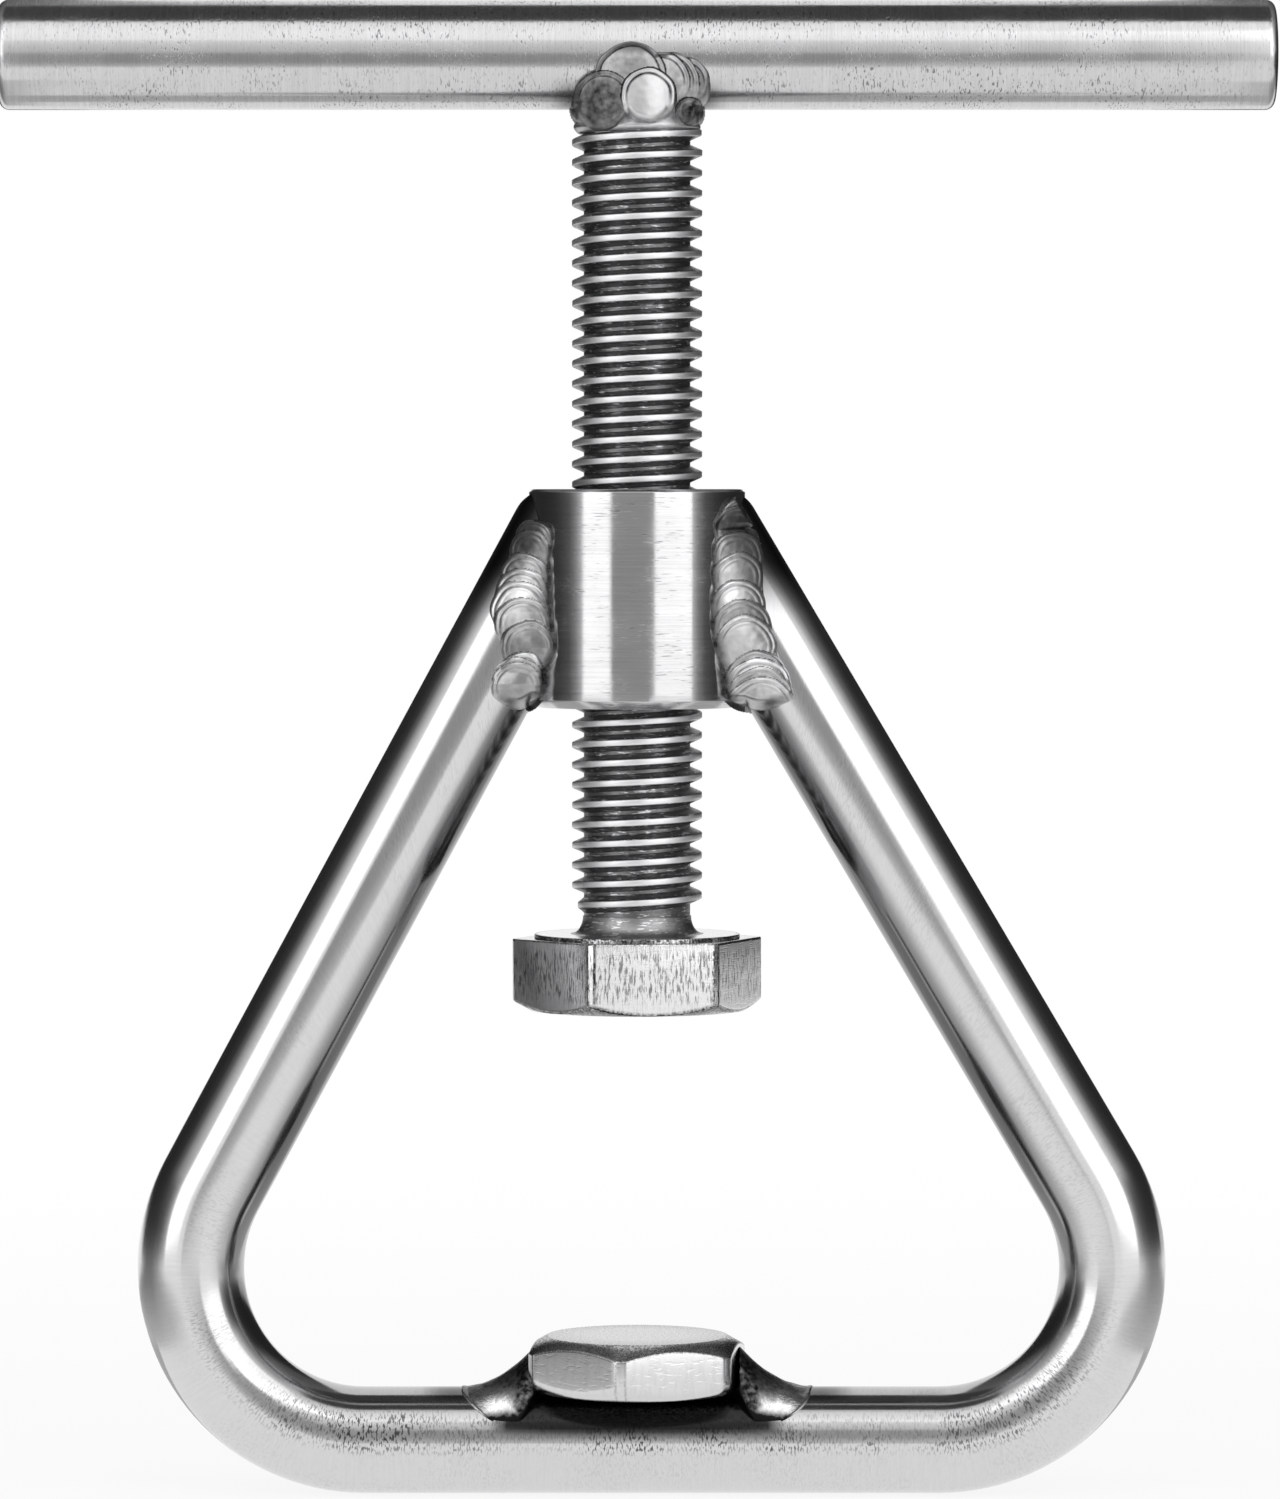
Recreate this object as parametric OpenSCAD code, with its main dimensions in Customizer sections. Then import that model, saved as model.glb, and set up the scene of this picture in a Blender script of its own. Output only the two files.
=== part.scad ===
// Screw-press nutcracker: a bent rod frame, a threaded collar, an anvil and a T-handled screw.
// Millimetres, +Z up along the screw, X along the handle, origin on the ground under the screw.

/* [Frame] */
// Diameter of the bent rod
rod_d = 8; // [6:0.1:9]
// Width of the frame over its two lower bends
frame_w = 77.2; // [70:0.1:90]
// How far the middle of the base lies to the right of the screw
base_shift = 1.1; // [-2:0.1:2]
// Radius of the lower bends at the middle of the rod
bend_r = 13; // [11:0.1:16]
// How much thicker the rod is in its bends, where bending upsets it
bend_upset = 0.02; // [0.02:0.01:0.1]
// Radius ground on the upper ends of the legs
shoulder_r = 3; // [2:0.1:4]

/* [Collar] */
// Outside diameter of the threaded collar
collar_d = 16.2; // [14.5:0.1:19]
// Height of the collar
collar_h = 16.3; // [13:0.1:20]
// Height of the collar's top above the ground
collar_top = 75.4; // [70:0.1:82]
// Chamfer on the collar's rims
collar_chamfer = 0.6; // [0.2:0.05:1]
// Gap left at the coped leg ends for the weld to fill
fit_up_gap = 0.05; // [0.02:0.01:0.2]

/* [Screw] */
// Outside diameter of the screw's thread
thread_d = 9.8; // [9:0.1:10.6]
// Pitch of the thread
thread_pitch = 1.5; // [1.25:0.05:1.75]
// Clearance between the screw's thread and the collar's
thread_clearance = 0.12; // [0.08:0.01:0.18]
// Length of the screw under its head
screw_len = 60; // [54:0.5:70]
// Width of the screw's head across its flats
head_af = 16.5; // [15:0.1:17.5]
// Thickness of the head
head_h = 5.4; // [4:0.1:7]
// Turn of the head from face-on, seen from above
head_turn = 8.7; // [-30:0.1:30]
// Height of the chamfer at the corners of the head's lower face
head_chamfer = 0.75; // [0.3:0.05:1.2]
// Height of the plain neck under the head
neck_h = 1.1; // [0.9:0.1:2]
// Height of the fillet between the head and the neck
neck_fillet = 0.8; // [0.4:0.05:0.85]
// Open height between the head and the anvil
press_gap = 24.5; // [18:0.5:28]

/* [Handle] */
// Diameter of the handle bar
handle_d = 8.2; // [6:0.1:9]
// Length of the handle bar
handle_len = 95.4; // [80:0.2:120]
// Chamfer at the ends of the bar
handle_chamfer = 0.5; // [0.2:0.05:1]

/* [Anvil] */
// Width of the anvil across its flats
anvil_af = 15.3; // [13:0.1:17]
// Thickness of the anvil
anvil_h = 4.2; // [3.5:0.1:6]
// Depth of the flat on the base rod that the anvil sits on
anvil_seat = 0.3; // [0.1:0.05:0.6]
// Turn of the anvil from face-on, seen from above
anvil_turn = 21.7; // [0:0.1:60]
// Height of the chamfer at the anvil's corners
anvil_chamfer = 0.9; // [0.4:0.05:1.4]
// How much the anvil's upright corners are rounded off
anvil_corner = 0.35; // [0.1:0.05:0.6]

/* [Welds] */
// Number of ripples in each bead on the collar
bead_ripples = 8; // [6:1:10]
// Radius of one ripple
bead_r = 2.2; // [1.8:0.05:2.6]
// How far the bead stands out of the groove that it fills
bead_lift = 0.6; // [0.3:0.05:1]
// Length of an anvil fillet along the base rod
fillet_len = 4.9; // [3:0.1:6]
// Height of an anvil fillet over the base rod
fillet_h = 2.9; // [2:0.1:3.4]
// Thickness of the fillet at its thin end
fillet_toe = 0.3; // [0.2:0.05:0.6]
// Width of an anvil fillet across the base rod
fillet_w = 9; // [6:0.1:11]
// How far an anvil fillet reaches down the sides of the base rod
fillet_wrap = 2; // [1:0.1:3]
// Diameter of the round root run on the screw's upper end
root_d = 8.8; // [7.6:0.1:9]
// Distance between the screw's end and the handle bar
root_h = 1.9; // [1.4:0.1:3]
// Gap around the root run
root_gap = 0.1; // [0.05:0.01:0.2]
// Number of ripples in each run on the handle
handle_ripples = 6; // [4:1:8]
// Radius of one ripple on the handle
handle_bead_r = 2.4; // [2:0.05:2.8]
// Half the length of a run on the handle
handle_bead_reach = 2.8; // [2.2:0.1:3.6]
// Height of the run's ends over the bar's underside
handle_bead_base = 0.5; // [0:0.1:1]
// Rise of the run's middle over its ends
handle_bead_rise = 1.8; // [0.8:0.1:2.4]
// How deep the ripples sit behind the bar's front
handle_bead_sink = 0.6; // [0.2:0.1:1]

/* [Hidden] */
$fn = 64;

left = -1;
right = 1;
front = -1;
back = 1;

// A cut runs this far past the solid that it cuts
over = 1;
far = 40;

// Frame: the bends' centres and the point on the collar's wall that each leg aims at
rod_r = rod_d / 2;
collar_r = collar_d / 2;
collar_z = collar_top - collar_h;
bend_z = rod_r + bend_r;
aim_z = collar_z + collar_h / 2;
function bend_reach(side) = frame_w / 2 - bend_r - rod_r + side * base_shift;
function aim_dx(side) = bend_reach(side) - collar_r;
function aim_distance(side) = norm([aim_dx(side), aim_z - bend_z]);
function leg_angle(side) = atan2(aim_dx(side), aim_z - bend_z) + asin(bend_r / aim_distance(side));
function leg_length(side) = sqrt(pow(aim_distance(side), 2) - pow(bend_r, 2));
leg_d = rod_d - bend_upset;
leg_root = 0.4;

// Heights, from the ground up
anvil_z = rod_d - anvil_seat;
anvil_top = anvil_z + anvil_h;
press_z = anvil_top + press_gap;
head_top = press_z + head_h;
screw_top = head_top + screw_len;
handle_z = screw_top + root_h + handle_d / 2;

// Thread form: 60 degree flanks, cut to the usual depth for its pitch
thread_steps = 24;
flank = tan(30);
depth_per_pitch = 0.6134;
thread_depth = depth_per_pitch * thread_pitch;
crest_r = thread_d / 2;
root_r = crest_r - thread_depth;
crest_half = thread_pitch / 16;
root_half = crest_half + thread_depth * flank;
// The ridge rises from a small share of its height over half a turn, and ends short of the tip
thread_fade = 0.5;
fade_floor = 0.06;
thread_tip = 0.6;
neck_step = 0.1;

// Collar's thread: the same form, moved out by the clearance, with lower ridges, run out past both rims
collar_depth_per_pitch = 0.47;
collar_depth = collar_depth_per_pitch * thread_pitch;
run_out_turns = 2;
groove_r = (crest_r + thread_clearance) / cos(180 / thread_steps);
bore_r = crest_r - collar_depth;
flank_room = thread_clearance / cos(30);
groove_half = crest_half - (groove_r - crest_r) * flank + flank_room;
bore_half = crest_half + (crest_r - bore_r) * flank + flank_room;

head_corner_r = head_af / 2 / cos(30);
anvil_corner_r = anvil_af / 2 / cos(30);
chamfer_slope = tan(60);

// Beads on the collar run over this stretch of the rod's section, 0 at its outer side
bead_from = 66;
bead_to = 142;

bright_steel = [0.80, 0.80, 0.79];
brushed_steel = [0.70, 0.70, 0.69];
dull_steel = [0.58, 0.58, 0.57];
weld_steel = [0.48, 0.48, 0.47];

// One closed screw thread on a round core from z0 to z1, with the ridge starting at z_start
module thread(z0, z1, z_start, turns, core, ridge, core_half, ridge_half, fade) {
    n = thread_steps;
    last = turns * n;
    function height(i) = max(fade_floor, min(1, min(i, last - i) / (fade * n)));
    function ridge_r(i) = core + (ridge - core) * height(i);
    function at(r, i, z) = [r * cos(360 * i / n), r * sin(360 * i / n), z];
    function mid(i) = z_start + thread_pitch * i / n;
    function p(i, k) = 4 * i + k;
    function low(j) = 4 * (last + 1) + j % n;
    function high(j) = 4 * (last + 1) + n + j % n;
    function quad(a, b, c, d) = [[a, d, c], [a, c, b]];
    points = concat(
        [for (i = [0:last]) each [
            at(core, i, mid(i) - core_half),
            at(ridge_r(i), i, mid(i) - ridge_half),
            at(ridge_r(i), i, mid(i) + ridge_half),
            at(core, i, mid(i) + core_half)]],
        [for (j = [0:n - 1]) at(core, j, z0)],
        [for (j = [0:n - 1]) at(core, j, z1)]);
    ridge_faces = [for (i = [0:last - 1], k = [0:2])
        each quad(p(i, k), p(i + 1, k), p(i + 1, k + 1), p(i, k + 1))];
    groove_faces = [for (i = [0:last - n - 1])
        each quad(p(i, 3), p(i + 1, 3), p(i + n + 1, 0), p(i + n, 0))];
    below_faces = [for (j = [0:n - 2]) each quad(low(j), low(j + 1), p(j + 1, 0), p(j, 0))];
    first = last - n;
    above_faces = [for (j = [first + 1:last - 1]) each quad(p(j, 3), p(j + 1, 3), high(j + 1), high(j))];
    // The strips beside the ridge's two ends meet it at extra points
    a = low(n - 1);
    start_faces = [
        [a, p(n - 1, 0), p(n, 0)], [a, p(n, 0), p(0, 3)], [a, p(0, 3), p(0, 0)], [a, p(0, 0), low(0)],
        [p(0, 3), p(0, 2), p(0, 1)], [p(0, 3), p(0, 1), p(0, 0)]];
    b = p(first + 1, 3);
    end_faces = [
        [b, p(first, 3), p(last, 0)], [b, p(last, 0), p(last, 3)],
        [b, p(last, 3), high(first)], [b, high(first), high(first + 1)],
        [p(last, 0), p(last, 1), p(last, 2)], [p(last, 0), p(last, 2), p(last, 3)]];
    floor_faces = [for (j = [1:n - 2]) [low(0), low(j), low(j + 1)]];
    roof_faces = [for (j = [1:n - 2]) [high(0), high(j + 1), high(j)]];
    // The ridge lies on one helix through the origin, so the screw and the collar are in mesh
    rotate([0, 0, 360 * z_start / thread_pitch])
        polyhedron(points, concat(ridge_faces, groove_faces, below_faces, above_faces,
            start_faces, end_faces, floor_faces, roof_faces), convexity = 10);
}

// A hexagonal block, its corners cut back below and, if top_chamfer is given, above
module hex_block(af, h, corner_r, bottom_chamfer, top_chamfer) {
    flat_r = corner_r - bottom_chamfer * chamfer_slope;
    top_r = corner_r - top_chamfer * chamfer_slope;
    intersection() {
        cylinder(d = af / cos(30), h = h, $fn = 6);
        rotate_extrude() polygon([
            [0, 0], [flat_r, 0], [corner_r, bottom_chamfer],
            [corner_r, h - top_chamfer], [top_r, h], [0, h]]);
    }
}

// Places children in a leg's own plane: x outward from the screw, y up
module leg_plane(side) {
    mirror([side == left ? 1 : 0, 0, 0]) rotate([90, 0, 0]) children();
}

// The straight leg, run on past the collar's top so that it can be coped and ground
module leg_bar(side) {
    angle = leg_angle(side);
    run_on = collar_h;
    leg_plane(side)
        translate([bend_reach(side) + bend_r * cos(angle), bend_z + bend_r * sin(angle), 0])
            rotate([0, 0, angle]) rotate([-90, 0, 0]) translate([0, 0, -leg_root])
                cylinder(d = leg_d, h = leg_root + leg_length(side) + run_on);
}

module leg_bend(side) {
    leg_plane(side) translate([bend_reach(side), bend_z, 0]) rotate([0, 0, -90])
        rotate_extrude(angle = 90 + leg_angle(side)) translate([bend_r, 0]) circle(d = rod_d);
}

// What is ground off a leg's upper end: all above the collar, and the outer corner to a round
module leg_end_cut(side) {
    angle = leg_angle(side);
    shoulder_z = collar_top - shoulder_r;
    outer_x = collar_r + (aim_z - shoulder_z) * tan(angle) + rod_r / cos(angle);
    leg_plane(side) translate([0, 0, -far / 2]) linear_extrude(far) {
        translate([-far / 2, collar_top]) square(far);
        translate([outer_x - shoulder_r / cos(angle), shoulder_z]) difference() {
            rotate(angle) square(far);
            circle(shoulder_r);
        }
    }
}

module frame_rod() {
    color(brushed_steel) difference() {
        union() {
            translate([-bend_reach(left), 0, rod_r]) rotate([0, 90, 0])
                cylinder(d = rod_d, h = bend_reach(left) + bend_reach(right));
            for (side = [left, right]) {
                leg_bend(side);
                difference() {
                    leg_bar(side);
                    leg_end_cut(side);
                    translate([0, 0, collar_z - far / 2])
                        cylinder(r = collar_r + fit_up_gap, h = collar_h + far);
                }
            }
        }
        translate([-anvil_corner_r, -far / 2, anvil_z]) cube([2 * anvil_corner_r, far, far / 2]);
    }
}

module collar() {
    rim_r = collar_r - collar_chamfer;
    turns = ceil(collar_h / thread_pitch) + 2 * run_out_turns;
    thread_from = collar_z - run_out_turns * thread_pitch;
    color(bright_steel) difference() {
        translate([0, 0, collar_z]) rotate_extrude() polygon([
            [0, 0], [rim_r, 0], [collar_r, collar_chamfer],
            [collar_r, collar_h - collar_chamfer], [rim_r, collar_h], [0, collar_h]]);
        thread(thread_from - thread_pitch, thread_from + (turns + 1) * thread_pitch, thread_from, turns,
            bore_r, groove_r, bore_half, groove_half, thread_fade);
    }
}

module anvil() {
    color(bright_steel) translate([0, 0, anvil_z]) rotate([0, 0, anvil_turn])
        hex_block(anvil_af, anvil_h, anvil_corner_r - anvil_corner, anvil_chamfer, anvil_chamfer);
}

// A point on the line where a leg meets the collar, at angle a round the rod's section
function wall_x(a) = sqrt(pow(collar_r, 2) - pow(rod_r * sin(a), 2));
function along_leg(side, a) =
    (collar_r + rod_r * cos(a) * cos(leg_angle(side)) - wall_x(a)) / sin(leg_angle(side));
function meeting(side, face, a) = [
    side * wall_x(a), face * rod_r * sin(a),
    aim_z + along_leg(side, a) * cos(leg_angle(side)) + rod_r * cos(a) * sin(leg_angle(side))];
// The way that the groove between the leg and the collar opens there
function groove_way(side, face, a) = [
    side * (cos(a) * cos(leg_angle(side)) + wall_x(a) / collar_r),
    face * sin(a) * (1 + rod_r / collar_r),
    cos(a) * sin(leg_angle(side))];

module collar_weld(side, face) {
    step = (bead_to - bead_from) / (bead_ripples - 1);
    color(weld_steel) difference() {
        for (k = [0:bead_ripples - 1]) {
            a = bead_from + k * step;
            way = groove_way(side, face, a);
            translate(meeting(side, face, a) + bead_lift * way / norm(way)) sphere(bead_r);
        }
        leg_bar(side);
        translate([0, 0, collar_z - far / 2]) cylinder(r = collar_r, h = collar_h + far);
    }
}

module collar_weld_left_front() { collar_weld(left, front); }
module collar_weld_left_back() { collar_weld(left, back); }
module collar_weld_right_front() { collar_weld(right, front); }
module collar_weld_right_back() { collar_weld(right, back); }

// A concave fillet round the upper side of the base rod, from its toe to the anvil's side
module anvil_weld(side) {
    toe_x = anvil_af / 2 + fillet_len;
    hollow_r = fillet_len;
    skirt_z = rod_d - fillet_wrap;
    color(weld_steel) difference() {
        intersection() {
            translate([0, 0, rod_r]) rotate([0, side * 90, 0]) rotate_extrude() difference() {
                square([rod_r + fillet_h, toe_x]);
                translate([rod_r + fillet_toe + hollow_r, toe_x]) circle(hollow_r);
            }
            translate([-far, -fillet_w / 2, skirt_z]) cube([2 * far, fillet_w, far]);
        }
        translate([0, 0, anvil_z]) rotate([0, 0, anvil_turn])
            cylinder(d = anvil_af / cos(30), h = far, $fn = 6);
        rotate([0, 0, anvil_turn]) cylinder(d = anvil_af / cos(30), h = anvil_z + over, $fn = 6);
        translate([0, 0, rod_r]) rotate([0, side * 90, 0]) cylinder(d = rod_d, h = far);
        translate([-side * far / 2 - far / 2, -far / 2, 0]) cube(far);
    }
}

module anvil_weld_left() { anvil_weld(left); }
module anvil_weld_right() { anvil_weld(right); }

module screw() {
    thread_from = head_top + neck_h + root_half;
    turns = floor((screw_top - thread_tip - root_half - thread_from) / thread_pitch);
    color(bright_steel) {
        thread(head_top - over, screw_top, thread_from, turns,
            root_r, crest_r, root_half, crest_half, thread_fade);
        translate([0, 0, press_z]) rotate([0, 0, head_turn])
            hex_block(head_af, head_h, head_corner_r, head_chamfer, 0);
        translate([0, 0, head_top - over]) rotate_extrude() polygon([
            [0, 0], [crest_r, 0], [crest_r, over],
            [root_r + neck_step, over + neck_fillet], [0, over + neck_fillet]]);
    }
}

module handle_bar() {
    bar_r = handle_d / 2;
    end_r = bar_r - handle_chamfer;
    color(bright_steel) translate([-handle_len / 2, 0, handle_z]) rotate([0, 90, 0]) rotate_extrude()
        polygon([
            [0, 0], [end_r, 0], [bar_r, handle_chamfer],
            [bar_r, handle_len - handle_chamfer], [end_r, handle_len], [0, handle_len]]);
}

module handle_weld_root() {
    color(dull_steel) translate([0, 0, screw_top + root_gap])
        cylinder(d = root_d, h = root_h - 2 * root_gap);
}

// A rippled run over one side of the joint, arched up onto the bar
module handle_weld(face) {
    step = 2 * handle_bead_reach / (handle_ripples - 1);
    color(weld_steel) difference() {
        for (k = [0:handle_ripples - 1]) {
            x = k * step - handle_bead_reach;
            rise = handle_bead_rise * (1 - pow(x / handle_bead_reach, 2));
            translate([-face * x, face * (handle_d / 2 - handle_bead_sink),
                handle_z - handle_d / 2 + handle_bead_base + rise]) sphere(handle_bead_r);
        }
        translate([-handle_len / 2, 0, handle_z]) rotate([0, 90, 0]) cylinder(d = handle_d, h = handle_len);
        translate([0, 0, screw_top - far]) cylinder(d = root_d + 2 * root_gap, h = far + root_h);
        translate([-far / 2, face == front ? 0 : -far, screw_top - far / 2]) cube(far);
    }
}

module handle_weld_front() { handle_weld(front); }
module handle_weld_back() { handle_weld(back); }

frame_rod();
collar();
anvil();
collar_weld_left_front();
collar_weld_left_back();
collar_weld_right_front();
collar_weld_right_back();
anvil_weld_left();
anvil_weld_right();
screw();
handle_bar();
handle_weld_root();
handle_weld_front();
handle_weld_back();
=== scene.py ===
import bpy
import bmesh
import math
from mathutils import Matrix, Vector, noise


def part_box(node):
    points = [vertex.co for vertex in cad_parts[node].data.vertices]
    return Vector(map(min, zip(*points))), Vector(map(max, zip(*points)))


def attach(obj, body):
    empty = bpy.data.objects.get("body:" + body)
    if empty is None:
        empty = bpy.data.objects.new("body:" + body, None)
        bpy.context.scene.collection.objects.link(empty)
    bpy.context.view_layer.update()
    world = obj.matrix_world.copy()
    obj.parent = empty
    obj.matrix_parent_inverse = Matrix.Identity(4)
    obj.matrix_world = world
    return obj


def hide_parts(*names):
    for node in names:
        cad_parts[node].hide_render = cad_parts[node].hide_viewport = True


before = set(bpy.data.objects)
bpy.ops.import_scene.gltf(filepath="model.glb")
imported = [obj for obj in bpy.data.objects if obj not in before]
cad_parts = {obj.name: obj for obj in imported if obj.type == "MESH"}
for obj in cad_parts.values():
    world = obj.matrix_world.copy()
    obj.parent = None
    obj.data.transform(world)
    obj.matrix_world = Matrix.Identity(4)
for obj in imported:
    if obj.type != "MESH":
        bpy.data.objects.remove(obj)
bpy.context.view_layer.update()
scene = bpy.context.scene
scene.view_settings.view_transform = "Standard"
mm = 0.001
left, right = -1, 1
front, back = -1, 1


# a node's lowest and highest corner, in millimetres
def boxOf(node):
    low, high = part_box(node)
    return Vector(low) / mm, Vector(high) / mm


def linearColour(code):    # sRGB hex to linear
    parts = [int(code[i:i + 2], 16) / 255 for i in (1, 3, 5)]
    return [c / 12.92 if c <= 0.04045 else ((c + 0.055) / 1.055) ** 2.4 for c in parts] + [1.0]


# adds a node with its settings and links; a link from a node means its first output
def addNode(tree, kind, settings=None, links=None):
    node = tree.nodes.new("ShaderNode" + kind)
    for name, value in (settings or {}).items():
        if isinstance(name, int) or name in node.inputs:
            node.inputs[name].default_value = value
        else:
            setattr(node, name, value)
    for name, source in (links or {}).items():
        output = source.outputs[0] if isinstance(source, bpy.types.Node) else source
        tree.links.new(output, node.inputs[name])
    return node


def newMaterial(name):
    material = bpy.data.materials.new(name)
    material.use_nodes = True
    material.node_tree.nodes.clear()
    return material, material.node_tree


def smoothStep(low, high, value):
    t = min(1.0, max(0.0, (value - low) / (high - low)))
    return t * t * (3 - 2 * t)


# quads between neighbouring rows of points
def gridFaces(rows, columns, around=True):
    faces = []
    for i in range(rows - 1):
        low, high = i * columns, (i + 1) * columns
        for j in range(columns if around else columns - 1):
            k = (j + 1) % columns
            faces.append((low + j, low + k, high + k, high + j))
    return faces


# the same round a tube, with a flat face at each end
def tubeFaces(rows, columns):
    last = (rows - 1) * columns
    return gridFaces(rows, columns) + [tuple(range(columns)), tuple(range(last, last + columns))]


# a 2D outline with its corners rounded: [x, y] or [x, y, radius]
def softOutline(corners, steps=5):
    points = []
    for i, corner in enumerate(corners):
        here = Vector(corner[:2])
        radius = corner[2] if len(corner) > 2 else 0
        if radius == 0:
            points.append(here)
            continue
        toLast = (Vector(corners[i - 1][:2]) - here).normalized()
        toNext = (Vector(corners[i + 1][:2]) - here).normalized()
        half = toLast.angle(toNext) / 2
        reach = radius / math.tan(half)
        middle = here + (toLast + toNext).normalized() * radius / math.sin(half)
        first = here + toLast * reach - middle
        last = here + toNext * reach - middle
        turn = first.angle_signed(last)
        for k in range(steps + 1):
            a = -turn * k / steps
            points.append(middle + Vector((first.x * math.cos(a) - first.y * math.sin(a),
                                           first.x * math.sin(a) + first.y * math.cos(a))))
    return points


# a turned shape: outline of (along, radius), axis "x" or "z"; closed by flat ends
def latheShape(outline, segments, axis, phase=0.0, capEnds=True):
    points, coords = [], []
    for along, radius in outline:
        for j in range(segments):
            a = phase + 2 * math.pi * j / segments
            c, s = radius * math.cos(a), radius * math.sin(a)
            points.append((along, c, s) if axis == "x" else (c, s, along))
            coords.append((along, c, s))
    makeFaces = tubeFaces if capEnds else gridFaces
    return points, makeFaces(len(outline), segments), coords


# a sheet of faces closed by the sheet of points behind it and a strip along its open edges
def closedSheet(points, faces, behind, crease, backShade):
    edges = {}
    for quad in faces:
        for a, b in zip(quad, quad[1:] + quad[:1]):
            if (b, a) in edges:
                del edges[(b, a)]
            else:
                edges[(a, b)] = True
    count = len(points)
    closing = [tuple(p + count for p in quad[::-1]) for quad in faces]
    sides = [(b, a, a + count, b + count) for a, b in edges]
    points = points + behind
    return (points, faces + closing + sides, points), crease + [backShade] * count


# one object from a shape in millimetres; coords are its places along and across the stock
def makePiece(name, shape, material, body, nodes=(), crease=None, sharp=40):
    points, faces, coords = shape
    mesh = bpy.data.meshes.new(name)
    mesh.from_pydata([Vector(p) * mm for p in points], [], faces)
    stock = mesh.attributes.new("stockCoord", "FLOAT_VECTOR", "POINT")
    stock.data.foreach_set("vector", [c for point in coords for c in point])
    if crease:
        depth = mesh.attributes.new("creaseDepth", "FLOAT", "POINT")
        depth.data.foreach_set("value", crease)
    work = bmesh.new()
    work.from_mesh(mesh)
    bmesh.ops.remove_doubles(work, verts=work.verts, dist=2e-7)
    bmesh.ops.dissolve_degenerate(work, edges=work.edges, dist=1e-7)
    bmesh.ops.recalc_face_normals(work, faces=work.faces)
    work.to_mesh(mesh)
    work.free()
    mesh.shade_smooth()
    mesh.set_sharp_from_angle(angle=math.radians(sharp))
    # lengthwise and girthwise millimetres as a UV map, which also gives the brushing its direction
    girthRadius = 4
    uv = mesh.uv_layers.new(name="stockUv")
    places = mesh.attributes["stockCoord"].data
    for polygon in mesh.polygons:
        firstAngle = None
        for loop in polygon.loop_indices:
            place = places[mesh.loops[loop].vertex_index].vector
            a = math.atan2(place.z, place.y)
            if firstAngle is None:
                firstAngle = a
            if a - firstAngle > math.pi:
                a -= 2 * math.pi
            if firstAngle - a > math.pi:
                a += 2 * math.pi
            uv.data[loop].uv = (place.x, a * girthRadius)
    piece = bpy.data.objects.new(name, mesh)
    scene.collection.objects.link(piece)
    mesh.materials.append(material)
    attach(piece, body)
    if nodes:
        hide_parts(*nodes)
    return piece


# the two attributes that every piece carries: its place on the stock and how dark it is, from painted shade
# and marks
def placeAndDepth(tree):
    place = addNode(tree, "Attribute", {"attribute_name": "stockCoord"})
    depth = addNode(tree, "Attribute", {"attribute_name": "creaseDepth"})
    return place.outputs["Vector"], depth.outputs["Fac"]


# marks of one size along the stock and another across it
def stretchedMarks(tree, place, along, across, detail, roughness=0.5):
    stretch = addNode(tree, "Mapping", {"Scale": (1 / along, 1 / across, 1 / across)}, {"Vector": place})
    return addNode(tree, "TexNoise", {"Scale": 1.0, "Detail": detail, "Roughness": roughness},
                   {"Vector": stretch})


# whole near a line on the stock, and falling to the least away from it
def bandMask(tree, coordinate, middle, near, far, least):
    off = addNode(tree, "Math", {"operation": "SUBTRACT", 1: middle}, {0: coordinate})
    away = addNode(tree, "Math", {"operation": "ABSOLUTE"}, {0: off})
    return addNode(tree, "MapRange", {1: near, 2: far, 3: 1.0, 4: least}, {"Value": away})


# bare metal that turns from light to dark, and from its low to its high roughness, by its share of marks and
# painted shade
def dulledSteel(tree, finish, dulled, height, depth):
    tone = addNode(tree, "Mix", {
        "data_type": "RGBA", 6: linearColour(finish["light"]), 7: linearColour(finish["dark"])}, {0: dulled})
    rough = addNode(tree, "MapRange", {3: finish["roughLow"], 4: finish["roughHigh"]}, {"Value": dulled})
    bump = addNode(tree, "Bump", {"Strength": 1.0, "Distance": depth * mm}, {"Height": height})
    steel = addNode(tree, "BsdfPrincipled", {"Metallic": 1.0}, {
        "Base Color": tone.outputs[2], "Roughness": rough, "Normal": bump})
    addNode(tree, "OutputMaterial", None, {"Surface": steel})
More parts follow.
